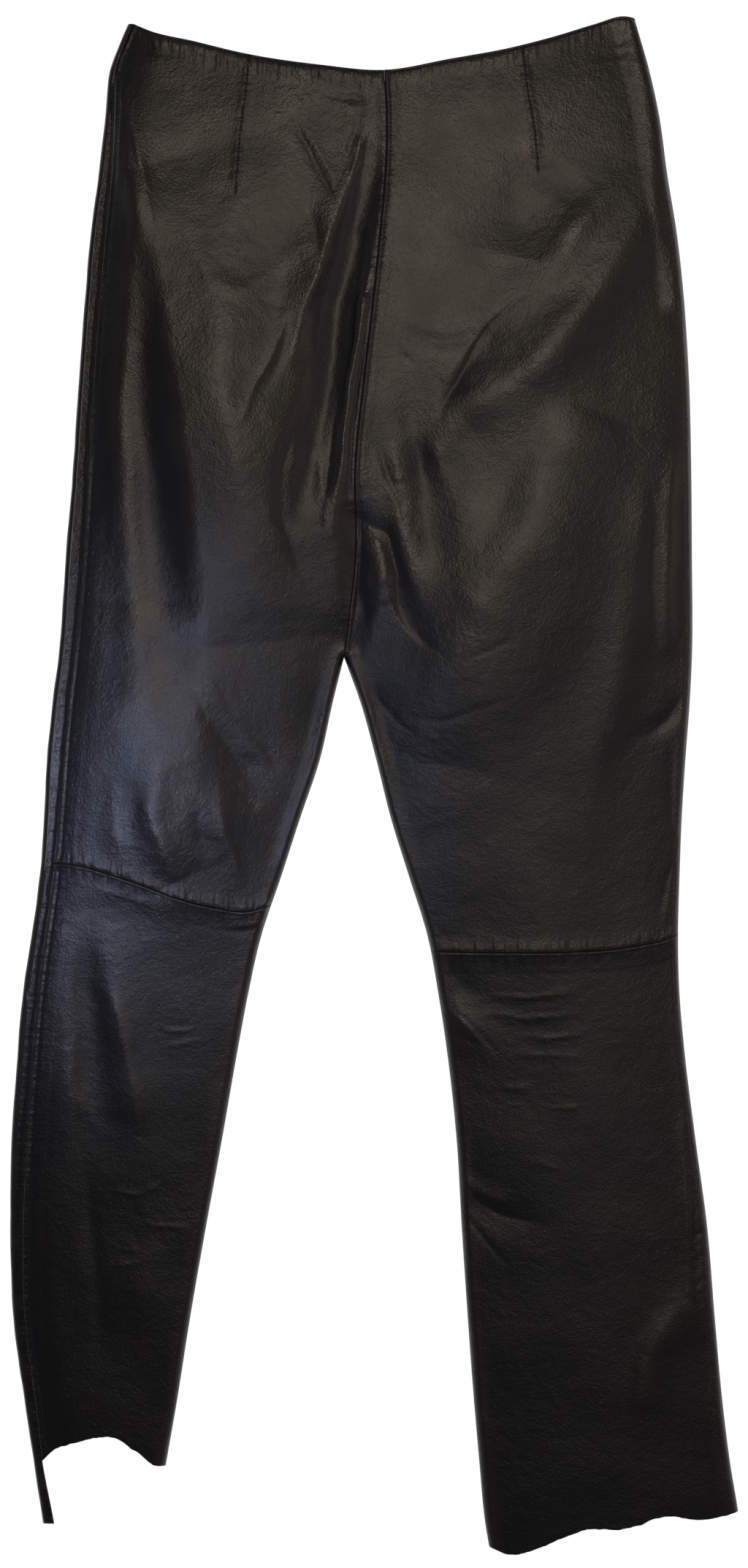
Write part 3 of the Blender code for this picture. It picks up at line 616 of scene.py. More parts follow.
def varied(at, base, swells):
    """A strength along a seam: its base and the swells on it."""
    for middle, width, more in swells:
        base = base + more * bell(at - middle, width)
    return base


def puckers(along, distance, gathers):
    """Short gathers square to a seam: pads between sharp nicks, uneven in spacing, that fade away from it."""
    spacing, reach, rise, seed, slant, base, swells = gathers
    uneven = along + slant * distance + 0.8 * spacing * noise(along / (6 * spacing), distance / 30, seed + 1)
    pads = 0.35 - abs(noise(uneven / spacing, distance / (3.5 * spacing), seed))
    strength = 0.55 + 0.9 * abs(noise(along / (9 * spacing), 0.3, seed + 2))
    window = ramp(distance - 0.6, 2.0) * bell(np.maximum(distance, 0), reach)
    return rise * 2.2 * pads * strength * window * varied(along, base, swells)


class Crinkle(NamedTuple):
    """A patch of fine wrinkles: its middle and half sizes, its turn in degrees, the size of a wrinkle along
    and across that turn, and its depth."""

    name: str
    x: float
    y: float
    half_x: float
    half_y: float
    turn: float
    long: float
    short: float
    depth: float


CRINKLES = [Crinkle(*row) for row in (
    ("left waist pebbles", -42, 468, 34, 24, 20, 7, 4, 0.55),
    ("seat pebbles by the seam", -14, 445, 20, 38, 75, 7, 4, 0.45),
    ("left waist flecks", -110, 489, 26, 9, -8, 8, 5, 0.4),
    ("left dart flecks", -80, 410, 30, 22, 20, 10, 6, 0.22),
    ("belly grain", -96, 372, 44, 26, 0, 8, 5, 0.22),
    ("lit flank grain", -106, 300, 20, 60, 65, 9, 4.5, 0.28),
    ("right waist flecks", 60, 480, 50, 12, 2, 9, 4.5, 0.28),
    ("right waist tip", 166, 500, 22, 14, 5, 10, 4, 0.3),
    ("hip crest grain", 95, 288, 60, 26, 40, 8, 5, 0.22),
    ("seam grain right", 12, 300, 14, 70, 80, 6, 4, 0.25),
    ("crotch grain", 12, 160, 26, 50, -60, 6, 3.6, 0.42),
    ("crotch grain below", 55, 92, 50, 30, 12, 8, 3.6, 0.4),
    ("inner thigh wrinkles", 32, 20, 34, 60, -12, 11, 3.8, 0.42),
    ("left thigh grain", -150, 60, 34, 60, 80, 6, 4, 0.25),
    ("left knee grain", -140, -30, 48, 36, 35, 8, 4.5, 0.35),
    ("below the left knee", -165, -105, 44, 26, 5, 9, 4.5, 0.35),
    ("left calf crosswise", -140, -168, 30, 34, 3, 16, 4.5, 0.26),
    ("left calf roll", -200, -205, 16, 40, 70, 6, 4, 0.4),
    ("left shin crosswise", -160, -300, 36, 40, -6, 14, 4, 0.28),
    ("below the right knee", 110, -150, 52, 34, 0, 18, 4.6, 0.34),
    ("right calf crosswise", 105, -208, 46, 26, 3, 15, 4.2, 0.26),
    ("right shin grain", 78, -285, 26, 34, -25, 10, 4.5, 0.26),
)]


def crinkle_heights(x, y):
    """Sum of the patches: pads between sharp nicks, where stretched noise crosses nothing, in an oval."""
    total = np.zeros(np.shape(x))
    for number, patch in enumerate(CRINKLES):
        away = np.hypot((x - patch.x) / patch.half_x, (y - patch.y) / patch.half_y)
        near = away < 1.5
        if not near.any():
            continue
        turn = np.radians(patch.turn)
        dx, dy = x[near] - patch.x, y[near] - patch.y
        u = (dx * np.cos(turn) + dy * np.sin(turn)) / patch.long
        v = (dy * np.cos(turn) - dx * np.sin(turn)) / patch.short
        u = u + 0.6 * noise(u * 0.4, v * 0.4, number + 3)
        v = v + 0.7 * noise(u * 0.5, v * 0.5, number + 5)
        pads = abs(noise(u, v, number)) + 0.45 * abs(noise(2.1 * u, 2.1 * v, number + 1))
        total[near] += patch.depth * 0.75 * (pads - 0.3) * (1 - ramp(away[near] - 0.35, 1.0))
    return total


def dart_heights(line, x, y, gathers):
    """A stitched dart: a narrow groove with short gathers beside it, ending in a soft swelling."""
    path = route(line)
    distance, _, along = beside(path, x, y)
    sewn = (along > 0) & (along < 1)
    swelling = DART_RISE * bell(np.hypot(x - path[-1][0], y - path[-1][1] + DART_END), DART_SWELL)
    return (puckers(y, distance, gathers) + ridge(distance, *DART_DIP)) * sewn + swelling


def seams(x, y):
    """Whether a point is on the right half, and how far it is from its leg's inner edge, from the centre
    seam, below the waist, above the knee seam and in from the side seam."""
    right, inner = from_inner(x, y)
    below = y <= CROTCH_Y
    centre = abs(x - edge("left_inner", y)) + FAR * below
    knee = y - np.where(right, across(RIGHT_KNEE, x), across(LEFT_KNEE, x))
    return right, inner + FAR * ~below, centre, across(WAIST, x) - y, knee, x - edge("side_seam", y)


SLOW_SWELL, FINE_SWELL = (45, 0.7, 5), (13, 0.06, 6)  # the leather is nowhere flat: noise size, rise and seed


def back_surface(x, y):
    """Outside height of the back panels with all their detail."""
    right, leg, centre, waist, knee, turned = seams(x, y)
    left, knee_away, outline = 1 - right, abs(knee), edge("right_edge", y) - x

    detail = fold_heights(CREASES, x, y) + crinkle_heights(x, y)
    detail += sum(rise * noise(x / size, y / size, seed) for size, rise, seed in (SLOW_SWELL, FINE_SWELL))
    fade = ramp(np.minimum(np.minimum(outline, leg), np.minimum(turned, waist)), 5.0)
    z = back_form(x, y) + detail * (0.15 + 0.85 * fade)

    z += puckers(x, waist, WAIST_GATHERS)
    z += allowance(waist, *WAIST_ALLOWANCE) + ridge(waist, *WAIST_SWELL) + ridge(waist, *WAIST_DENT)
    z += puckers(x, knee_away, KNEE_GATHERS) + allowance(knee_away, *KNEE_ALLOWANCE) * (knee < 0)
    z += roll(knee_away, *GROOVE) + ridge(knee, *KNEE_LIP)
    welt = ridge(centre, *WELT) + ridge(centre, *WELT_DENT)
    z += roll(centre, *GROOVE) + (welt + allowance(centre, *CENTRE_ALLOWANCE)) * right
    z += puckers(y, centre, CENTRE_GATHERS)
    z += (roll(turned, *GROOVE) + ridge(turned, *SIDE_LIP) + ridge(turned, *SIDE_DENT)) * left
    z += (puckers(y, turned, SIDE_GATHERS) + allowance(turned, *SIDE_ALLOWANCE)) * left
    z += puckers(y, outline - 3, SHIN_GATHERS) * right
    for line, gathers, half in zip((LEFT_DART, RIGHT_DART), DART_GATHERS, (left, right)):
        z += dart_heights(line, x, y, gathers) * half
    z += roll(outline, *SIDE_ROLL) + roll(leg, *SIDE_ROLL) + roll(waist, *WAIST_ROLL)
    return np.maximum(z, FLOOR_LAYER + THIN_EDGE + zip_lift(x, y))


# ---------------------------------------------------------------- grids and shells
GRID_STEP = 1.45
COARSER = 4  # the inside of a wall has one cell for this many along each way outside
ROLLED = np.array([0, 0.06, 0.2, 0.42, 0.75, 1.15, 1.65, 2.3, 3.2])  # grid lines beside a rolled edge
SEWN = np.array([0, 0.12, 0.3, 0.55, 0.85, 1.2, 1.6, 2.0, 2.45, 2.9, 3.3, 3.7, 4.2, 5.0])  # and beside a seam
CUT = np.array([0, 0.5])  # and beside a raw cut


def stations(length, step, start, end, kink=None):
    """Grid lines over a length: fine ones beside both ends, even ones between.

    Each line has a fixed distance from the start and a share of what lies between the fine strips. kink is
    the share that one line keeps exactly.
    """
    cells = max(round((length - start[-1] - end[-1]) / step), 4)
    cells += -(cells + len(start) + len(end) - 2) % COARSER
    middle = np.linspace(0, 1, cells + 1)
    if kink is not None:
        middle = np.interp(np.arange(cells + 1), [0, round(kink * cells), cells], [0, kink, 1])
    fixed = np.concatenate([start[:-1], np.full(cells + 1, start[-1]), start[-1] + end[-1] - end[-2::-1]])
    share = np.concatenate([np.zeros(len(start) - 1), middle, np.ones(len(end) - 1)])
    return fixed, share


PULL = 0.3  # beside a dart the grid lines are this much closer
PULL_WIDTH = 14.0
SETTLING = 14  # rounds until the sides and cross lines of a grid agree


def pulled(x, y, line):
    """x moved towards a line, so that the grid is fine beside it. It fades out below the line's end."""
    low, high = line[-1][1], line[0][1]
    away = x - across([(b, a) for a, b in line[::-1]], np.clip(y, low, high))
    close = PULL + (1 - PULL) * ramp(abs(away), PULL_WIDTH)
    return x + away * (close - 1) * ramp(y - (low - 30), 25)


def panel_grid(left, right, top, bottom, ends, step=GRID_STEP, crotch=None):
    """x and y of a grid between two sides (x of y) and two cross lines (y of x).

    ends gives the fine strips at the left, right, top and bottom. Sides and cross lines depend on each other,
    so both are worked out again and again until they agree. crotch is the side that keeps a line at the
    crotch.
    """
    middle = (left(0.0) + right(0.0)) / 2
    height = top(middle) - bottom(middle)
    level = top(middle) - height / 2
    columns = stations(right(level) - left(level), step, ends[0], ends[1])
    kink = None
    if crotch is not None:
        corner = crotch(CROTCH_Y)
        span = top(corner) - bottom(corner) - ends[2][-1] - ends[3][-1]
        kink = (top(corner) - ends[2][-1] - CROTCH_Y) / span
    rows = stations(height, step, ends[2], ends[3], kink)
    fixed_x, share_x = (part[None, :] for part in columns)
    fixed_y, share_y = (part[:, None] for part in rows)
    y = top(middle) - fixed_y - share_y * (height - ends[2][-1] - ends[3][-1]) + 0 * fixed_x
    for _ in range(SETTLING):
        x = left(y) + fixed_x + share_x * (right(y) - left(y) - ends[0][-1] - ends[1][-1])
        y = top(x) - fixed_y - share_y * (top(x) - bottom(x) - ends[2][-1] - ends[3][-1])
    return x, y


def border(rows, columns, step_row, step_column):
    """Indices i, j once round a grid, down the left first. The first step_column columns end at step_row."""
    stepped = [(step_row, 0), (step_row, step_column), (rows, step_column)]
    corners = [(0, 0), *stepped, (rows, columns), (0, columns)]
    legs = []
    for here, there in zip(corners, [*corners[1:], corners[0]]):
        count = abs(there[0] - here[0]) + abs(there[1] - here[1])
        legs.append(np.linspace(here, there, count, endpoint=False))
    return np.rint(np.vstack(legs)).astype(int)


def mesh_of(name, points, quads, triangles, shades=None, smooth_angle=50):
    """A mesh from arrays of points (mm), quads and triangles. shades holds a material number for each face."""
    mesh = bpy.data.meshes.new(name)
    loops = np.concatenate([quads.ravel(), triangles.ravel()]).astype(np.int32)
    sizes = np.concatenate([np.full(len(quads), 4), np.full(len(triangles), 3)]).astype(np.int32)
    mesh.vertices.add(len(points))
    mesh.vertices.foreach_set("co", (points * MM).astype(np.float32).ravel())
    mesh.loops.add(len(loops))
    mesh.loops.foreach_set("vertex_index", loops)
    mesh.polygons.add(len(sizes))
    mesh.polygons.foreach_set("loop_start", (np.cumsum(sizes) - sizes).astype(np.int32))
    if shades is not None:
        mesh.polygons.foreach_set("material_index", shades.astype(np.int32))
    mesh.update(calc_edges=True)
    mesh.shade_smooth()
    mesh.set_sharp_from_angle(angle=np.radians(smooth_angle))
    piece = bpy.data.objects.new(name, mesh)
    bpy.context.scene.collection.objects.link(piece)
    return piece


RELIEF_HEIGHT = 0.8  # a point this far out of its surroundings counts as wholly rubbed with a full painted highlight, this far in as wholly in painted shade
RELIEF_REACHES = (3, 5)  # cells each way over which the surroundings are averaged, one after the other


def wear_and_painted_light_of(outside):
    """How far each point stands out from its surroundings, -1 to 1: what rubbing polishes, and where a painted
    highlight lies on the crests and painted shade fills the hollows.
    """
    z, rim = outside[..., 2], max(RELIEF_REACHES)
    for axis in (0, 1):
        for reach in RELIEF_REACHES:
            padded = np.pad(z, rim, mode="edge")
            z = sum(np.roll(padded, s, axis)[rim:-rim, rim:-rim] for s in (-reach, 0, reach)) / 3
    return np.clip((outside[..., 2] - z) / RELIEF_HEIGHT, -1, 1)


# strengths of the fine gathers: a base and swells, as in Gathers
FINE_WAIST = (0.35, ((-35, 55, 0.65), (-115, 30, 0.35), (110, 40, 0.2)))
FINE_KNEE = (0.5, ((115, 50, 0.5), (-150, 60, 0.4)))
FINE_CENTRE = (0.35, ((420, 60, 0.4),))


def gathers_of(x, y):
    """Strength of the fine gathers at each point, 0 to 1: those that hang from cross seams, and those beside
    the seams and darts that run down."""
    _, _, centre, waist, knee, turned = seams(x, y)
    down = bell(np.maximum(waist, 0) - 5, 8) * varied(x, *FINE_WAIST)
    down = down + bell(abs(knee) - 1.5, 6) * varied(x, *FINE_KNEE)
    out = bell(centre - 1.5, 4.5) * varied(y, *FINE_CENTRE) + bell(abs(turned) - 2, 6) * 0.5
    for line in (LEFT_DART, RIGHT_DART):
        away, _, along = beside(route(line), x, y)
        out = out + 0.55 * bell(away, 3.2) * ramp(along - 0.02, 0.1) * ramp(0.98 - along, 0.1)
    return np.clip(down, 0, 1), np.clip(out, 0, 1)


def shell(name, outside, inside, skins, step=None):
    """A closed wall between two grids of points. The inside grid is coarser, and fans join the two borders.

    skins are the materials of the outside, and of the inside with the cut edge. step (row, column) leaves out
    the cells below that row and left of that column.
    """
    rows, columns = outside.shape[0] - 1, outside.shape[1] - 1
    step = step or (rows, 0)
    inside = inside[::COARSER, ::COARSER]
    faces, loops, offset = [], [], 0
    for scale, turn in ((1, 1), (COARSER, -1)):
        r, c = rows // scale, columns // scale
        i, j = np.mgrid[0:r, 0:c]
        kept = (i < step[0] // scale) | (j >= step[1] // scale)
        first = (i * (c + 1) + j)[kept] + offset
        faces.append(np.stack([first, first + c + 1, first + c + 2, first + 1], 1)[:, ::turn])
        loop = border(r, c, step[0] // scale, step[1] // scale)
        loops.append(loop[:, 0] * (c + 1) + loop[:, 1] + offset)
        offset += (r + 1) * (c + 1)
    fine, coarse = loops
    owner = coarse[(np.arange(len(fine)) + COARSER // 2) // COARSER % len(coarse)]
    fans = np.stack([owner, np.roll(fine, -1), fine], 1)
    halfway = fine[(np.arange(len(coarse)) * COARSER + COARSER // 2) % len(fine)]
    ties = np.stack([coarse, np.roll(coarse, -1), halfway], 1)
    points = np.vstack([outside.reshape(-1, 3), inside.reshape(-1, 3)])
    quads, triangles = np.vstack(faces), np.vstack([fans, ties])
    shades = np.concatenate([np.zeros(len(faces[0])), np.ones(len(faces[1]) + len(triangles))])
    plain = np.zeros(inside.shape[0] * inside.shape[1])
    # the looks: the relief that colours wear, painted highlights and painted shade, and the strengths of the
    # fine gathers
    looks = (wear_and_painted_light_of(outside), *gathers_of(outside[..., 0], outside[..., 1]))
    looks = [np.concatenate([values.ravel(), plain]) for values in looks]
    if step[1]:
        used = np.unique(np.concatenate([quads.ravel(), triangles.ravel()]))
        order = np.zeros(len(points), int)
        order[used] = np.arange(len(used))
        points, quads, triangles = points[used], order[quads], order[triangles]
        looks = [values[used] for values in looks]
    piece = mesh_of(name, points, quads, triangles, shades)
    for label, values in zip(("wear_and_painted_light", "gathers_down", "gathers_out"), looks):
        piece.data.attributes.new(label, "FLOAT", "POINT").data.foreach_set("value", values.astype(np.float32))
    for skin in skins:
        piece.data.materials.append(skin)
    return piece


def side(column, shift=0.0):
    """X of an edge or seam as a function of y, moved by shift."""
    return lambda y: edge(column, y) + shift


def cross(line, shift=0.0):
    """Y of a line across the garment as a function of x, moved by shift."""
    return lambda x: across(line, x) + shift


FRONT_SEAM_SHIFT = 0.8


def front_seam(column, shift=0.0):
    """The fronts' centre seam: above the crotch it lies a little to the right of the back's one."""
    return lambda y: edge(column, y) + shift + FRONT_SEAM_SHIFT * ramp(y - CROTCH_Y - 6, 25)


def ragged(line, shift=0.0):
    """A hem cut by hand: its line with small uneven steps."""
    return lambda x: across(line, x) + shift + 0.9 * noise(x / 8.0, 0.5, 8) + 0.45 * noise(x / 2.6, 0.5, 9)


def back_panel(name, left, right, top, bottom, ends, crotch=None, dart=None):
    """A back panel: its outside is the detailed surface, its inside the broad form less the wall.

    With a dart, the grid is drawn towards it and its first row put back on the waist.
    """
    x, y = panel_grid(left, right, top, bottom, ends, crotch=crotch)
    if dart is not None:
        x = pulled(x, y, dart)
        y = y + (top(x[0]) - y[0]) * ramp(y - CROTCH_Y, 300)
    outside = back_surface(x, y)
    slope_x = (back_form(x + 1, y) - back_form(x - 1, y)) / 2
    slope_y = (back_form(x, y + 1) - back_form(x, y - 1)) / 2
    inside = back_form(x, y) - WALL * np.sqrt(1 + slope_x**2 + slope_y**2)
    inside = np.maximum(np.minimum(inside, outside - WALL * 0.7), FLOOR_LAYER + zip_lift(x, y))
    inside = np.minimum(inside, outside - THIN_EDGE)
    return shell(name, np.stack([x, y, outside], -1), np.stack([x, y, inside], -1), leather)


# ---------------------------------------------------------------- materials
def connect(tree, node, inputs):
    """Each input of a node set to a value, or linked to a socket."""
    for name, value in inputs.items():
        if isinstance(value, bpy.types.NodeSocket):
            tree.links.new(value, node.inputs[name])
        else:
            node.inputs[name].default_value = value


def add(tree, kind, inputs=(), **settings):
    """A new node with its settings and inputs."""
    made = tree.nodes.new("ShaderNode" + kind)
    for name, value in settings.items():
        setattr(made, name, value)
    connect(tree, made, dict(inputs))
    return made


def new_material(name):
    """A material, its node tree, and the place on the piece that its patterns follow."""
    made = bpy.data.materials.new(name)
    made.use_nodes = True
    return made, made.node_tree, add(made.node_tree, "TexCoord").outputs["Object"]


def finished(made, inputs):
    """The material with its shader's inputs set or linked."""
    connect(made.node_tree, made.node_tree.nodes["Principled BSDF"], inputs)
    return made


GRAIN = 1.5  # mm, a cell of nappa's grain is about 0.6 mm: drawn coarser, as coarse as it shows
CRINKLE_SIZE = 9.0
TONE_SIZE = 150.0
BLOTCH_SIZE = 35.0
PORE_SIZE = 2.0
# the fine gathers' spacing in X, Y and Z, mm
GATHERED = (("gathers_down", (4.2, 30.0, 30.0)), ("gathers_out", (30.0, 3.6, 30.0)))


def nappa_grain_side():
    """Lamb nappa, aniline dyed black, finished with wax: broad soft gloss, fine grain, browner where rubbed.

    Its colour also holds painted light: warm and cool casts by place, a painted highlight on the crests and
    painted shade in the hollows.
    """
    made, tree, place = new_material("nappa_aniline_dyed_waxed")
    # the relief: lighter where it stands out, as wear and a painted highlight, darker where it sinks, as
    # painted shade; it also sets the polish
    wear_and_painted_light = add(tree, "Attribute", attribute_name="wear_and_painted_light").outputs["Fac"]
    parts = add(tree, "SeparateXYZ", {"Vector": place}).outputs
    pattern = {"grain": add(tree, "TexVoronoi", {"Vector": place, "Scale": 1000 / GRAIN}).outputs["Distance"]}
    for label, size, detail, distortion in (
        ("tone", TONE_SIZE, 2.0, 0.0), ("blotch", BLOTCH_SIZE, 2.0, 0.0), ("pores", PORE_SIZE, 2.0, 0.6),
        ("crinkle", CRINKLE_SIZE, 1.0, 0.6),
    ):
        inputs = {"Vector": place, "Scale": 1000 / size, "Detail": detail, "Distortion": distortion}
        pattern[label] = add(tree, "TexNoise", inputs).outputs["Fac"]

    # shares worked out from a value between two limits: warm towards the waist and the right leg, painted warm
    # light over a cool base that is painted cool light; warm at the hems too (Y, X in metres); browner where
    # worn and in blotches, with a painted highlight on the crests; darker in the hollows, a painted shade; and
    # duller or more polished
    share = {}
    for label, value, low, high, to_low, to_high in (
        ("upper", parts["Y"], 0.05, 0.4, 0.0, 1.0),
        ("lower", parts["Y"], 0.02, -0.34, 0.0, 1.0),
        ("outer", parts["X"], 0.02, 0.2, 0.0, 1.0),
        ("hems", parts["Y"], -0.36, -0.48, 0.0, 0.8),
        ("drift", pattern["tone"], 0.3, 0.7, -0.25, 0.25),
        # lighter and browner on the crests: wear and a painted highlight
        ("rubbed_and_painted_highlight", wear_and_painted_light, 0.1, 0.8, 0.0, 0.5),
        # darker in the hollows: painted shade
        ("painted_shade_in_hollows", wear_and_painted_light, -0.1, -0.8, 0.0, 0.35),
        ("mottled", pattern["blotch"], 0.42, 0.7, 0.0, 0.4),
        ("roughness", pattern["blotch"], 0.3, 0.7, 0.41, 0.34),
        ("polished", wear_and_painted_light, -1.0, 1.0, -0.05, 0.04),
    ):
        ranges = {"Value": value, "From Min": low, "From Max": high, "To Min": to_low, "To Max": to_high}
        share[label] = add(tree, "MapRange", ranges).outputs[0]
    for label, one, operation, other in (
        ("lower", "lower", "MULTIPLY", "outer"),
        ("lower", "lower", "MAXIMUM", "hems"),
        ("warm", "upper", "MAXIMUM", "lower"),
        ("warm", "warm", "ADD", "drift"),
        ("roughness", "roughness", "SUBTRACT", "polished"),
    ):
        share[label] = add(tree, "Math", {0: share[one], 1: share[other]}, operation=operation).outputs[0]
    # a cool blue-black base: painted cool light where the warm tint is weak, most of all on the left leg
    colour = linear("#0b0c13")
    for label, tint in (
        # painted warm light with drifting tone, wear with a painted highlight, painted shade in the hollows,
        # brown blotches
        ("warm", "#13110e"), ("rubbed_and_painted_highlight", "#3a322a"), ("painted_shade_in_hollows", "#08080a"), ("mottled", "#271f1e"),
    ):
        colour = add(tree, "Mix", {0: share[label], 6: colour, 7: linear(tint)}, data_type="RGBA").outputs[2]

    # bumps from coarse to fine: height, strength and depth in metres
    bumps = [(pattern["crinkle"], 0.32, 0.001)]
    for label, sizes in GATHERED:
        strength = add(tree, "Attribute", attribute_name=label).outputs["Fac"]
        stretched = add(tree, "Mapping", {"Vector": place, "Scale": [1000 / size for size in sizes]}).outputs[0]
        waves = add(tree, "TexNoise", {"Vector": stretched, "Scale": 1.0, "Detail": 1.0}).outputs["Fac"]
        bumps.append((add(tree, "Math", {0: waves, 1: strength}, operation="MULTIPLY").outputs[0], 1.0, 0.0017))
    bumps += [(pattern["pores"], 0.36, 0.0004), (pattern["grain"], 0.3, 0.0004)]
    below = {}
    for height, strength, depth in bumps:
        bump = add(tree, "Bump", {"Height": height, "Strength": strength, "Distance": depth, **below})
        below = {"Normal": bump.outputs[0]}
    coat = {"IOR": 1.5, "Coat Weight": 0.12, "Coat Roughness": 0.3}
    return finished(made, {"Base Color": colour, "Roughness": share["roughness"], **coat, **below})


def nappa_flesh_side():
    """The split, napped flesh side and the cut edge: matt brown-black suede with a short uneven nap."""
    made, tree, place = new_material("nappa_flesh_side_napped")
    nap = add(tree, "TexNoise", {"Vector": place, "Scale": 1000 / 1.6, "Detail": 4.0}).outputs["Fac"]
    tone = add(tree, "TexNoise", {"Vector": place, "Scale": 1000 / 40, "Detail": 2.0}).outputs["Fac"]
    tone = add(tree, "MapRange", {"Value": tone, "From Min": 0.3, "From Max": 0.7}).outputs[0]
    shades = {0: tone, 6: linear("#231d1a"), 7: linear("#332b26")}
    return finished(made, {
        "Base Color": add(tree, "Mix", shades, data_type="RGBA").outputs[2],
        "Roughness": 0.92,
        "Sheen Weight": 0.25,
        "Normal": add(tree, "Bump", {"Height": nap, "Strength": 0.6, "Distance": 0.0004}).outputs[0],
    })


def sewing_thread():
    """Spun polyester, black: a dull thread whose twist shows as fine slanting bands."""
    made, tree, place = new_material("polyester_thread_twisted")
    bands = {"Vector": place, "Scale": 1000 / 2.5, "Distortion": 2.0}
    twist = add(tree, "TexWave", bands, bands_direction="DIAGONAL").outputs["Fac"]
    bump = add(tree, "Bump", {"Height": twist, "Strength": 0.4, "Distance": 0.0001}).outputs[0]
    return finished(made, {"Base Color": linear("#0c0c0d"), "Roughness": 0.6, "Normal": bump})


def zip_cloth():
    """Woven polyester tape, black: a matt herringbone rib about 0.6 mm wide."""
    made, tree, place = new_material("polyester_tape_woven")
    bands = {"Vector": place, "Scale": 1000 / 1.2, "Distortion": 1.0}
    rib = add(tree, "TexWave", bands, bands_direction="Y").outputs["Fac"]
    blacks = {0: rib, 6: linear("#111113"), 7: linear("#1d1d20")}
    colour = add(tree, "Mix", blacks, data_type="RGBA").outputs[2]
    bump = add(tree, "Bump", {"Height": rib, "Strength": 0.5, "Distance": 0.0002}).outputs[0]
    return finished(made, {"Base Color": colour, "Roughness": 0.8, "Normal": bump})


def zip_nylon():
    """Extruded nylon coil, black: smooth, with a small sharp gloss."""
    made, tree, place = new_material("nylon_coil_extruded")
    scuff = add(tree, "TexNoise", {"Vector": place, "Scale": 1000 / 4, "Detail": 2.0}).outputs["Fac"]
    ranges = {"Value": scuff, "From Min": 0.3, "From Max": 0.7, "To Min": 0.28, "To Max": 0.42}
    roughness = add(tree, "MapRange", ranges).outputs[0]
    return finished(made, {"Base Color": linear("#121214"), "Roughness": roughness})


def floor_paper():
    """A sheet of matt white paper lit from below, with the slightest mottle."""
    made, tree, place = new_material("paper_matt_white")
    mottle = add(tree, "TexNoise", {"Vector": place, "Scale": 2.0, "Detail": 2.0}).outputs["Fac"]
    whites = {0: mottle, 6: linear("#f4f4f4"), 7: linear("#fbfbfb")}
    colour = add(tree, "Mix", whites, data_type="RGBA").outputs[2]
    glow = {"Emission Color": linear("#ffffff"), "Emission Strength": FLOOR_GLOW}
    return finished(made, {"Base Color": colour, "Roughness": 0.9, **glow})


# ---------------------------------------------------------------- the front panels, under the back ones
FRONT_STEP = 3.0
TURN_CELLS = 12  # round the turned edge and over the strip: multiples of COARSER, as a shell asks
STRIP_CELLS = 12
TAIL_ROWS = 24
TURNED_WALL = WALL * 0.9  # the leather is stretched a little thinner round the turned edge
FOLD_SLACK = 0.25  # the turned edge's radius is this much under FOLD_RADIUS, and varies by FOLD_VARIES
FOLD_VARIES, FOLD_VARIES_OVER = 0.35, 18
STRIP_SAG = 1.1  # no point of the strip lies further than this below the panel beside it
UNDERSIDE = folds_of(
    ("front hip crease", 9, 1.2, 0.2, 0.4, -120, 400, -80, 330, -50, 250),
    ("front crotch crease left", 8, 1.2, 0, 0.5, -25, 150, -60, 110, -100, 90),
    ("front crotch crease right", 8, 1.2, 0, 0.5, 0, 160, 50, 120, 100, 100),
    ("front thigh crease", 10, 1.1, 0.2, 0.4, 60, 300, 110, 220, 150, 120),
    ("front knee crease left", 6, 1.1, 0, 0.5, -190, -20, -150, -35, -110, -40),
    ("front knee crease right", 6, 1.1, 0, 0.5, 60, -70, 110, -80, 160, -78),
    ("front calf crease left", 7, 1, 0, 0.5, -200, -160, -160, -180, -130, -190),
    ("front calf crease right", 7, 1, 0, 0.5, 80, -200, 130, -215, 180, -210),
)


def front_waist(x):
    """The front waist line: the back one, dipping between the side seams."""
    share = np.clip((x - WAIST[0][0]) / (WAIST[-1][0] - WAIST[0][0]), 0, 1)
    return across(WAIST, x) - FRONT_DROP * np.sin(np.pi * share)


def front_underside(x, y):
    """Height of a front panel's outside, which faces down: flat on the floor but for creases and seams."""
    _, _, centre, _, knee, _ = seams(x, y)
    inward = np.minimum(*from_edges(x, y))
    creases = np.maximum(fold_heights(UNDERSIDE, x, y), 0) * ramp(inward - 8, 20)
    gathers = np.maximum(puckers(x, abs(knee), FRONT_KNEE_GATHERS), 0)
    gathers += np.maximum(puckers(y, centre, FRONT_CENTRE_GATHERS), 0)
    rounding = -(roll(abs(knee), *FRONT_SEAM_ROLL) + roll(centre, *FRONT_SEAM_ROLL) + roll(inward, *SIDE_ROLL))
    return np.clip(creases + gathers + rounding - roll(front_waist(x) - y, *WAIST_ROLL), 0, None)


def front_walls(x, y):
    """Heights of a front panel's outside, below, and of its inside, above."""
    low = front_underside(x, y)
    high = WALL + np.maximum(low - 0.2, 0) * ramp(np.minimum(*from_edges(x, y)) - 8, 10)
    return low, np.maximum(high, low + THIN_EDGE)


def flat_panel(name, left, right, top, bottom, ends, crotch=None):
    """A front panel that lies flat. Its grid runs right to left, so that its outside faces down."""
    x, y = (part[:, ::-1] for part in panel_grid(left, right, top, bottom, ends, FRONT_STEP, crotch))
    low, high = front_walls(x, y)
    return shell(name, np.stack([x, y, low], -1), np.stack([x, y, high], -1), leather)


def fold_line(y):
    """X of the line from which the left fronts turn up."""
    return edge("left_edge", y) + FOLD_RADIUS


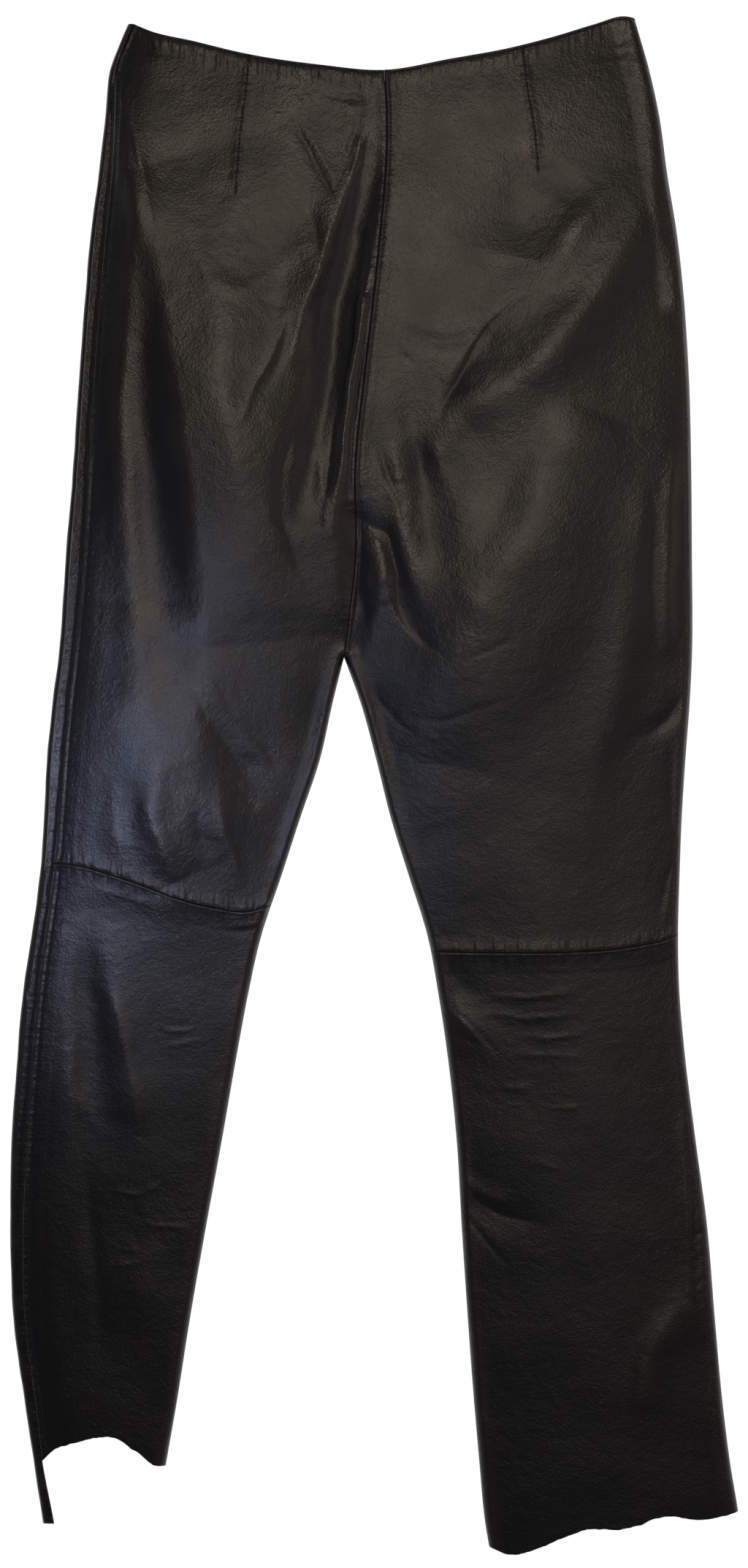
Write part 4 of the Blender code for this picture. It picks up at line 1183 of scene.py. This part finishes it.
def turned_panel(name, right, top, bottom, seam_ends, ends, crotch=None, tail_end=None):
    """A front panel whose profile is carried down the leg: flat from the inner edge to the fold, half a
    circle round it, and on top to the side seam. With tail_end, the turned strip alone runs on below the hem.
    """
    flat_x, flat_y = panel_grid(fold_line, right, top, bottom, (CUT, *ends), FRONT_STEP, crotch)
    flat_x, flat_y = flat_x[:, ::-1], flat_y[:, ::-1]
    high_end, low_end = seam_ends
    share = (flat_y[:, -1] - flat_y[-1, -1]) / (flat_y[0, -1] - flat_y[-1, -1])
    seam = edge("side_seam", flat_y[:, -1])
    level = low_end(seam) + share * (high_end(seam) - low_end(seam))
    flat_y[:, -1] = level
    flat_y += (level - flat_y[:, -2])[:, None] * np.linspace(0, 1, flat_y.shape[1])[None, :] ** 6 * 0.9
    flat_y[:, -1] = level
    step = None
    if tail_end is not None:
        tail_rows = TAIL_ROWS + -(TAIL_ROWS + len(level) - 1) % COARSER
        more = np.linspace(level[-1], tail_end, tail_rows + 1)[1:]
        step = (len(level) - 1, (flat_x.shape[1] - 1) // COARSER * COARSER)
        flat_x = np.vstack([flat_x, flat_x[-1:] + np.zeros((tail_rows, 1))])
        flat_x[-tail_rows:, -1] = fold_line(more)
        flat_y = np.vstack([flat_y, np.repeat(more[:, None], flat_y.shape[1], axis=1)])
        level = np.concatenate([level, more])

    low, high = front_walls(flat_x, flat_y)
    near_fold = ramp(flat_x - fold_line(flat_y), 12)
    low, high = low * near_fold, WALL + (high - WALL) * near_fold

    y = level[:, None]
    fold_x = fold_line(y)
    seam_x = edge("side_seam", y) - SEWN_GAP / 2
    radius = FOLD_RADIUS + FOLD_VARIES * noise(y / FOLD_VARIES_OVER, 0.4, 14) - FOLD_SLACK
    turn = np.linspace(0, np.pi, TURN_CELLS + 1)[None, 1:]
    t = 1 - (1 - np.linspace(0, 1, STRIP_CELLS + 1)[None, 1:]) ** 1.5
    strip_x = fold_x + (seam_x - fold_x) * t
    seam_z = back_form(seam_x + SEWN_GAP, y)
    from_seam = seam_x - strip_x
    strip_z = 2 * radius + (seam_z - 2 * radius) * t**1.6
    strip_z = strip_z + puckers(y, from_seam, TURNED_GATHERS) + 0.25 * noise(y / 9, strip_x / 9, 16)
    strip_z = strip_z + roll(from_seam, *GROOVE) + roll(abs(y - across(LEFT_KNEE, strip_x)), *GROOVE)
    strip_z = np.maximum(strip_z + roll(across(WAIST, strip_x) - y, *WAIST_ROLL), seam_z - STRIP_SAG)

    def points(flat_z, r, top_z):
        x = np.hstack([flat_x, fold_x - r * np.sin(turn), strip_x])
        z = np.hstack([flat_z, radius - r * np.cos(turn), top_z])
        return np.stack([x, np.hstack([flat_y, y + 0 * turn, y + 0 * t]), z], -1)

    inside = points(high, radius - TURNED_WALL, np.maximum(strip_z - TURNED_WALL, FLOOR_LAYER))
    return shell(name, points(low, radius, strip_z), inside, leather, step)


# ---------------------------------------------------------------- stitches and zip
STITCH_RINGS = 5
WAIST_STITCHED = (-160, 176)  # X from which and to which the waist's row of stitches runs
CENTRE_STITCHED, SIDE_STITCHED = (484, 200), (500, -440)  # and Y for the rows down the seams
ROW_POINTS, SEAM_POINTS = 300, 400
WAIST_PITCH = 2.7
DART_STITCH = (3.0, 1.8, 0.3)  # pitch, length and radius
THREAD_PROUD = 0.05  # a stitch's core lies this far above the leather at its middle
THREAD_DROP = 0.35  # and its ends are pulled down by this


def circles(core, guide, radius, sides=6):
    """Circles carried along paths and square to them. Each starts in a direction square to the guide."""
    ahead = np.gradient(core, axis=-2)
    ahead /= np.linalg.norm(ahead, axis=-1, keepdims=True)
    one = np.cross(guide, ahead)
    one /= np.linalg.norm(one, axis=-1, keepdims=True)
    two = np.cross(ahead, one)
    turn = (np.arange(sides) / sides * 2 * np.pi)[:, None]
    return core[..., None, :] + radius * (np.cos(turn) * one[..., None, :] + np.sin(turn) * two[..., None, :])


def thread_points(line, pitch=STITCH_PITCH, length=2.0, radius=0.26):
    """Stitches along a line of x, y points: each a short capsule that follows the surface, ends pulled down.

    A stitch is a circle carried along its length, its radius and drop worked out from the share of the way.
    """
    line = np.asarray(line, float)
    run = np.concatenate([[0], np.cumsum(np.hypot(*np.diff(line, axis=0).T))])
    starts = np.arange(pitch / 2, run[-1] - pitch / 2, pitch)
    share = np.linspace(0, 1, STITCH_RINGS)
    at = starts[:, None] + (share - 0.5) * length
    x, y = np.interp(at, run, line[:, 0]), np.interp(at, run, line[:, 1])
    z = back_surface(x, y) + THREAD_PROUD - THREAD_DROP * abs(2 * share - 1) ** 3
    fat = radius * np.sqrt(np.clip(1 - (2 * share - 1) ** 4, 0.12, 1))
    return circles(np.stack([x, y, z], -1), (0.0, 0.0, 1.0), fat[None, :, None, None])


def tubes(name, rings, skin):
    """Closed capsules from an array of tubes, rings and sides: quads along them and a fan at each end."""
    count, length, sides = rings.shape[:3]
    base = (np.arange(count) * length * sides)[:, None, None]
    i, j = np.mgrid[0 : length - 1, 0:sides]
    first, second = i * sides + j, i * sides + (j + 1) % sides
    quads = np.stack([first, second, second + sides, first + sides], -1).reshape(1, -1, 4)
    quads = (base + quads).reshape(-1, 4)
    fan = np.stack([np.zeros(sides - 2, int), np.arange(2, sides), np.arange(1, sides - 1)], 1)
    caps = np.vstack([fan, fan[:, ::-1] + (length - 1) * sides])
    piece = mesh_of(name, rings.reshape(-1, 3), quads, (base + caps[None]).reshape(-1, 3), smooth_angle=60)
    piece.data.materials.append(skin)
    return piece


def seam_line(column, high, low):
    """Points down a seam, where its topstitching runs."""
    y = np.linspace(high, low, SEAM_POINTS)
    return np.stack([edge(column, y) + STITCH_ROW, y], 1)


TAPE_RIB, TAPE_RIPPLE = 1.2, 0.06
TAPE_ROWS, TAPE_COLUMNS = 121, 9
TAPE_IN = 1.4  # its outer side lies this far in from the edge
TAPE_ABOVE, TAPE_BELOW = 0.2, -0.25  # its faces, from the middle of the zip's own layer
COIL_PITCH = 1.3
COIL_TURN_POINTS = 12
COIL_HALF_WIDTH, COIL_HALF_HEIGHT, COIL_WIRE = 0.75, 0.38, 0.16
COIL_IN = 1.35  # its middle lies this far in from the edge


def zip_pieces(tape_skin, coil_skin):
    """The closed concealed zip: a woven tape, and the nylon coil at its outer edge as one helix of flat
    loops."""
    top = across(WAIST, WAIST[-1][0]) - SEAM_GAP - 0.5
    y = np.linspace(top, top - ZIP_LENGTH + 1, TAPE_ROWS)[:, None]
    outer, inner = edge("right_edge", y) - TAPE_IN, edge("right_edge", y) - ZIP_WIDTH
    x = outer + (inner - outer) * np.linspace(1, 0, TAPE_COLUMNS)[None, :]
    middle = FLOOR_LAYER + ZIP_THICKNESS / 2
    z = middle + TAPE_RIPPLE * np.sin(y * 2 * np.pi / TAPE_RIB) + 0 * x
    above, below = (np.stack([x, y + 0 * x, z + rise], -1) for rise in (TAPE_ABOVE, TAPE_BELOW))
    tape = shell("side_zip_tape", above, below, (tape_skin, tape_skin))
    turns = int(ZIP_LENGTH / COIL_PITCH) - 2
    phase = np.arange(turns * COIL_TURN_POINTS) / COIL_TURN_POINTS * 2 * np.pi
    y = top - 1 - phase / (2 * np.pi) * COIL_PITCH
    x = edge("right_edge", y) - COIL_IN + COIL_HALF_WIDTH * np.cos(phase)
    core = np.stack([x, y, middle + COIL_HALF_HEIGHT * np.sin(phase)], -1)
    rings = circles(core, (0.0, -1.0, 0.0), COIL_WIRE)
    return tape, tubes("side_zip_coil", rings[None, :, ::-1], coil_skin)


# ---------------------------------------------------------------- making the garment
class Panel(NamedTuple):
    """A panel: its node, what makes it, from which sides, cross lines and fine strips, and its flat pattern:
    the rectangle that it is cut from (m) and its area (square m)."""

    node: str
    maker: Callable
    shape: tuple
    flat: tuple
    area: float


leather = (nappa_grain_side(), nappa_flesh_side())
half_gap = SEWN_GAP / 2
left_seam, right_seam = side("left_inner", -half_gap), side("right_inner", half_gap)
left_inner, right_inner = side("left_inner"), side("right_inner")
side_seam, right_edge = side("side_seam", half_gap), side("right_edge")
front_left_seam, front_right_seam = front_seam("left_inner", -half_gap), front_seam("right_inner", half_gap)
# the upper panels end just above the knee seams and the lower ones begin just below
left_thigh_end, right_thigh_end = cross(LEFT_KNEE, half_gap), cross(RIGHT_KNEE, half_gap)
left_calf_top, right_calf_top = cross(LEFT_KNEE, -half_gap), cross(RIGHT_KNEE, -half_gap)
waist, left_hem, right_hem = cross(WAIST), ragged(LEFT_HEM), ragged(RIGHT_HEM)
front_left_hem, front_right_hem = ragged(LEFT_HEM, FRONT_HEM_SHORT), ragged(RIGHT_HEM, FRONT_HEM_SHORT)

PANELS = [
    Panel("back_left_upper", back_panel, (side_seam, left_seam, waist, left_thigh_end, (SEWN, SEWN, ROLLED,
          SEWN), left_seam, LEFT_DART), (0.225, 0.585), 0.108),
    Panel("back_right_upper", back_panel, (right_seam, right_edge, waist, right_thigh_end,
          (SEWN, ROLLED, ROLLED, SEWN), right_seam, RIGHT_DART), (0.245, 0.645), 0.132),
    Panel("back_left_lower", back_panel, (side_seam, left_inner, left_calf_top, left_hem,
          (SEWN, ROLLED, SEWN, CUT)), (0.165, 0.415), 0.049),
    Panel("back_right_lower", back_panel, (right_inner, right_edge, right_calf_top, right_hem,
          (ROLLED, ROLLED, SEWN, CUT)), (0.180, 0.425), 0.067),
    Panel("front_left_upper", turned_panel, (front_left_seam, front_waist, left_thigh_end, (waist,
          left_thigh_end), (ROLLED, ROLLED, ROLLED), left_seam), (0.235, 0.585), 0.115),
    Panel("front_left_lower", turned_panel, (left_inner, left_calf_top, front_left_hem, (left_calf_top,
          left_hem), (ROLLED, ROLLED, CUT), None, TAIL_END_Y), (0.180, 0.455), 0.057),
    Panel("front_right_upper", flat_panel, (front_right_seam, right_edge, front_waist, right_thigh_end,
          (ROLLED, ROLLED, ROLLED, ROLLED), right_seam), (0.245, 0.645), 0.129),
    Panel("front_right_lower", flat_panel, (right_inner, right_edge, right_calf_top, front_right_hem,
          (ROLLED, ROLLED, ROLLED, CUT)), (0.180, 0.425), 0.066),
]
panels = [panel.maker(panel.node + "_leather", *panel.shape) for panel in PANELS]

thread = sewing_thread()
waist_x = np.linspace(*WAIST_STITCHED, ROW_POINTS)
waist_row = np.stack([waist_x, across(WAIST, waist_x) - WAIST_STITCH_ROW], 1)
dart_rows = np.concatenate([thread_points(route(line), *DART_STITCH) for line in (LEFT_DART, RIGHT_DART)])
stitches = [
    tubes("waist_edge_stitches", thread_points(waist_row, WAIST_PITCH), thread),
    tubes("centre_seam_stitches", thread_points(seam_line("right_inner", *CENTRE_STITCHED)), thread),
    tubes("side_seam_stitches", thread_points(seam_line("side_seam", *SIDE_STITCHED)), thread),
    tubes("dart_stitches", dart_rows, thread),
]
zip_tape, zip_coil = zip_pieces(zip_cloth(), zip_nylon())

# ---------------------------------------------------------------- the stage, and the pieces put on the body in place of the solids
floor_mesh = bpy.data.meshes.new("floor")
half_floor = FLOOR_SIZE / 2
corners = [(x * half_floor, y * half_floor, -FLOOR_GAP) for x, y in ((-1, -1), (1, -1), (1, 1), (-1, 1))]
floor_mesh.from_pydata(corners, [], [(0, 1, 2, 3)])
floor_mesh.materials.append(floor_paper())
floor = bpy.data.objects.new("floor", floor_mesh)
bpy.context.scene.collection.objects.link(floor)

world = bpy.data.worlds.new("soft sky")
world.use_nodes = True
sky = world.node_tree
direction = add(sky, "TexCoord").outputs["Generated"]
rise = add(sky, "SeparateXYZ", {"Vector": direction}).outputs["Z"]
turn = {"From Min": SKY_TURN[0], "From Max": SKY_TURN[1], "To Min": SKY_AROUND, "To Max": SKY_ABOVE}
strength = add(sky, "MapRange", {"Value": rise, **turn}).outputs[0]
connect(sky, sky.nodes["Background"], {"Color": linear(SKY_COLOUR), "Strength": strength})
bpy.context.scene.world = world
bpy.context.scene.view_settings.view_transform = "Standard"

for panel, piece in zip(PANELS, panels):
    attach(piece, "root")
    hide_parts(panel.node)
for piece in (*stitches, zip_tape, zip_coil):
    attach(piece, "root")
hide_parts("side_zip")
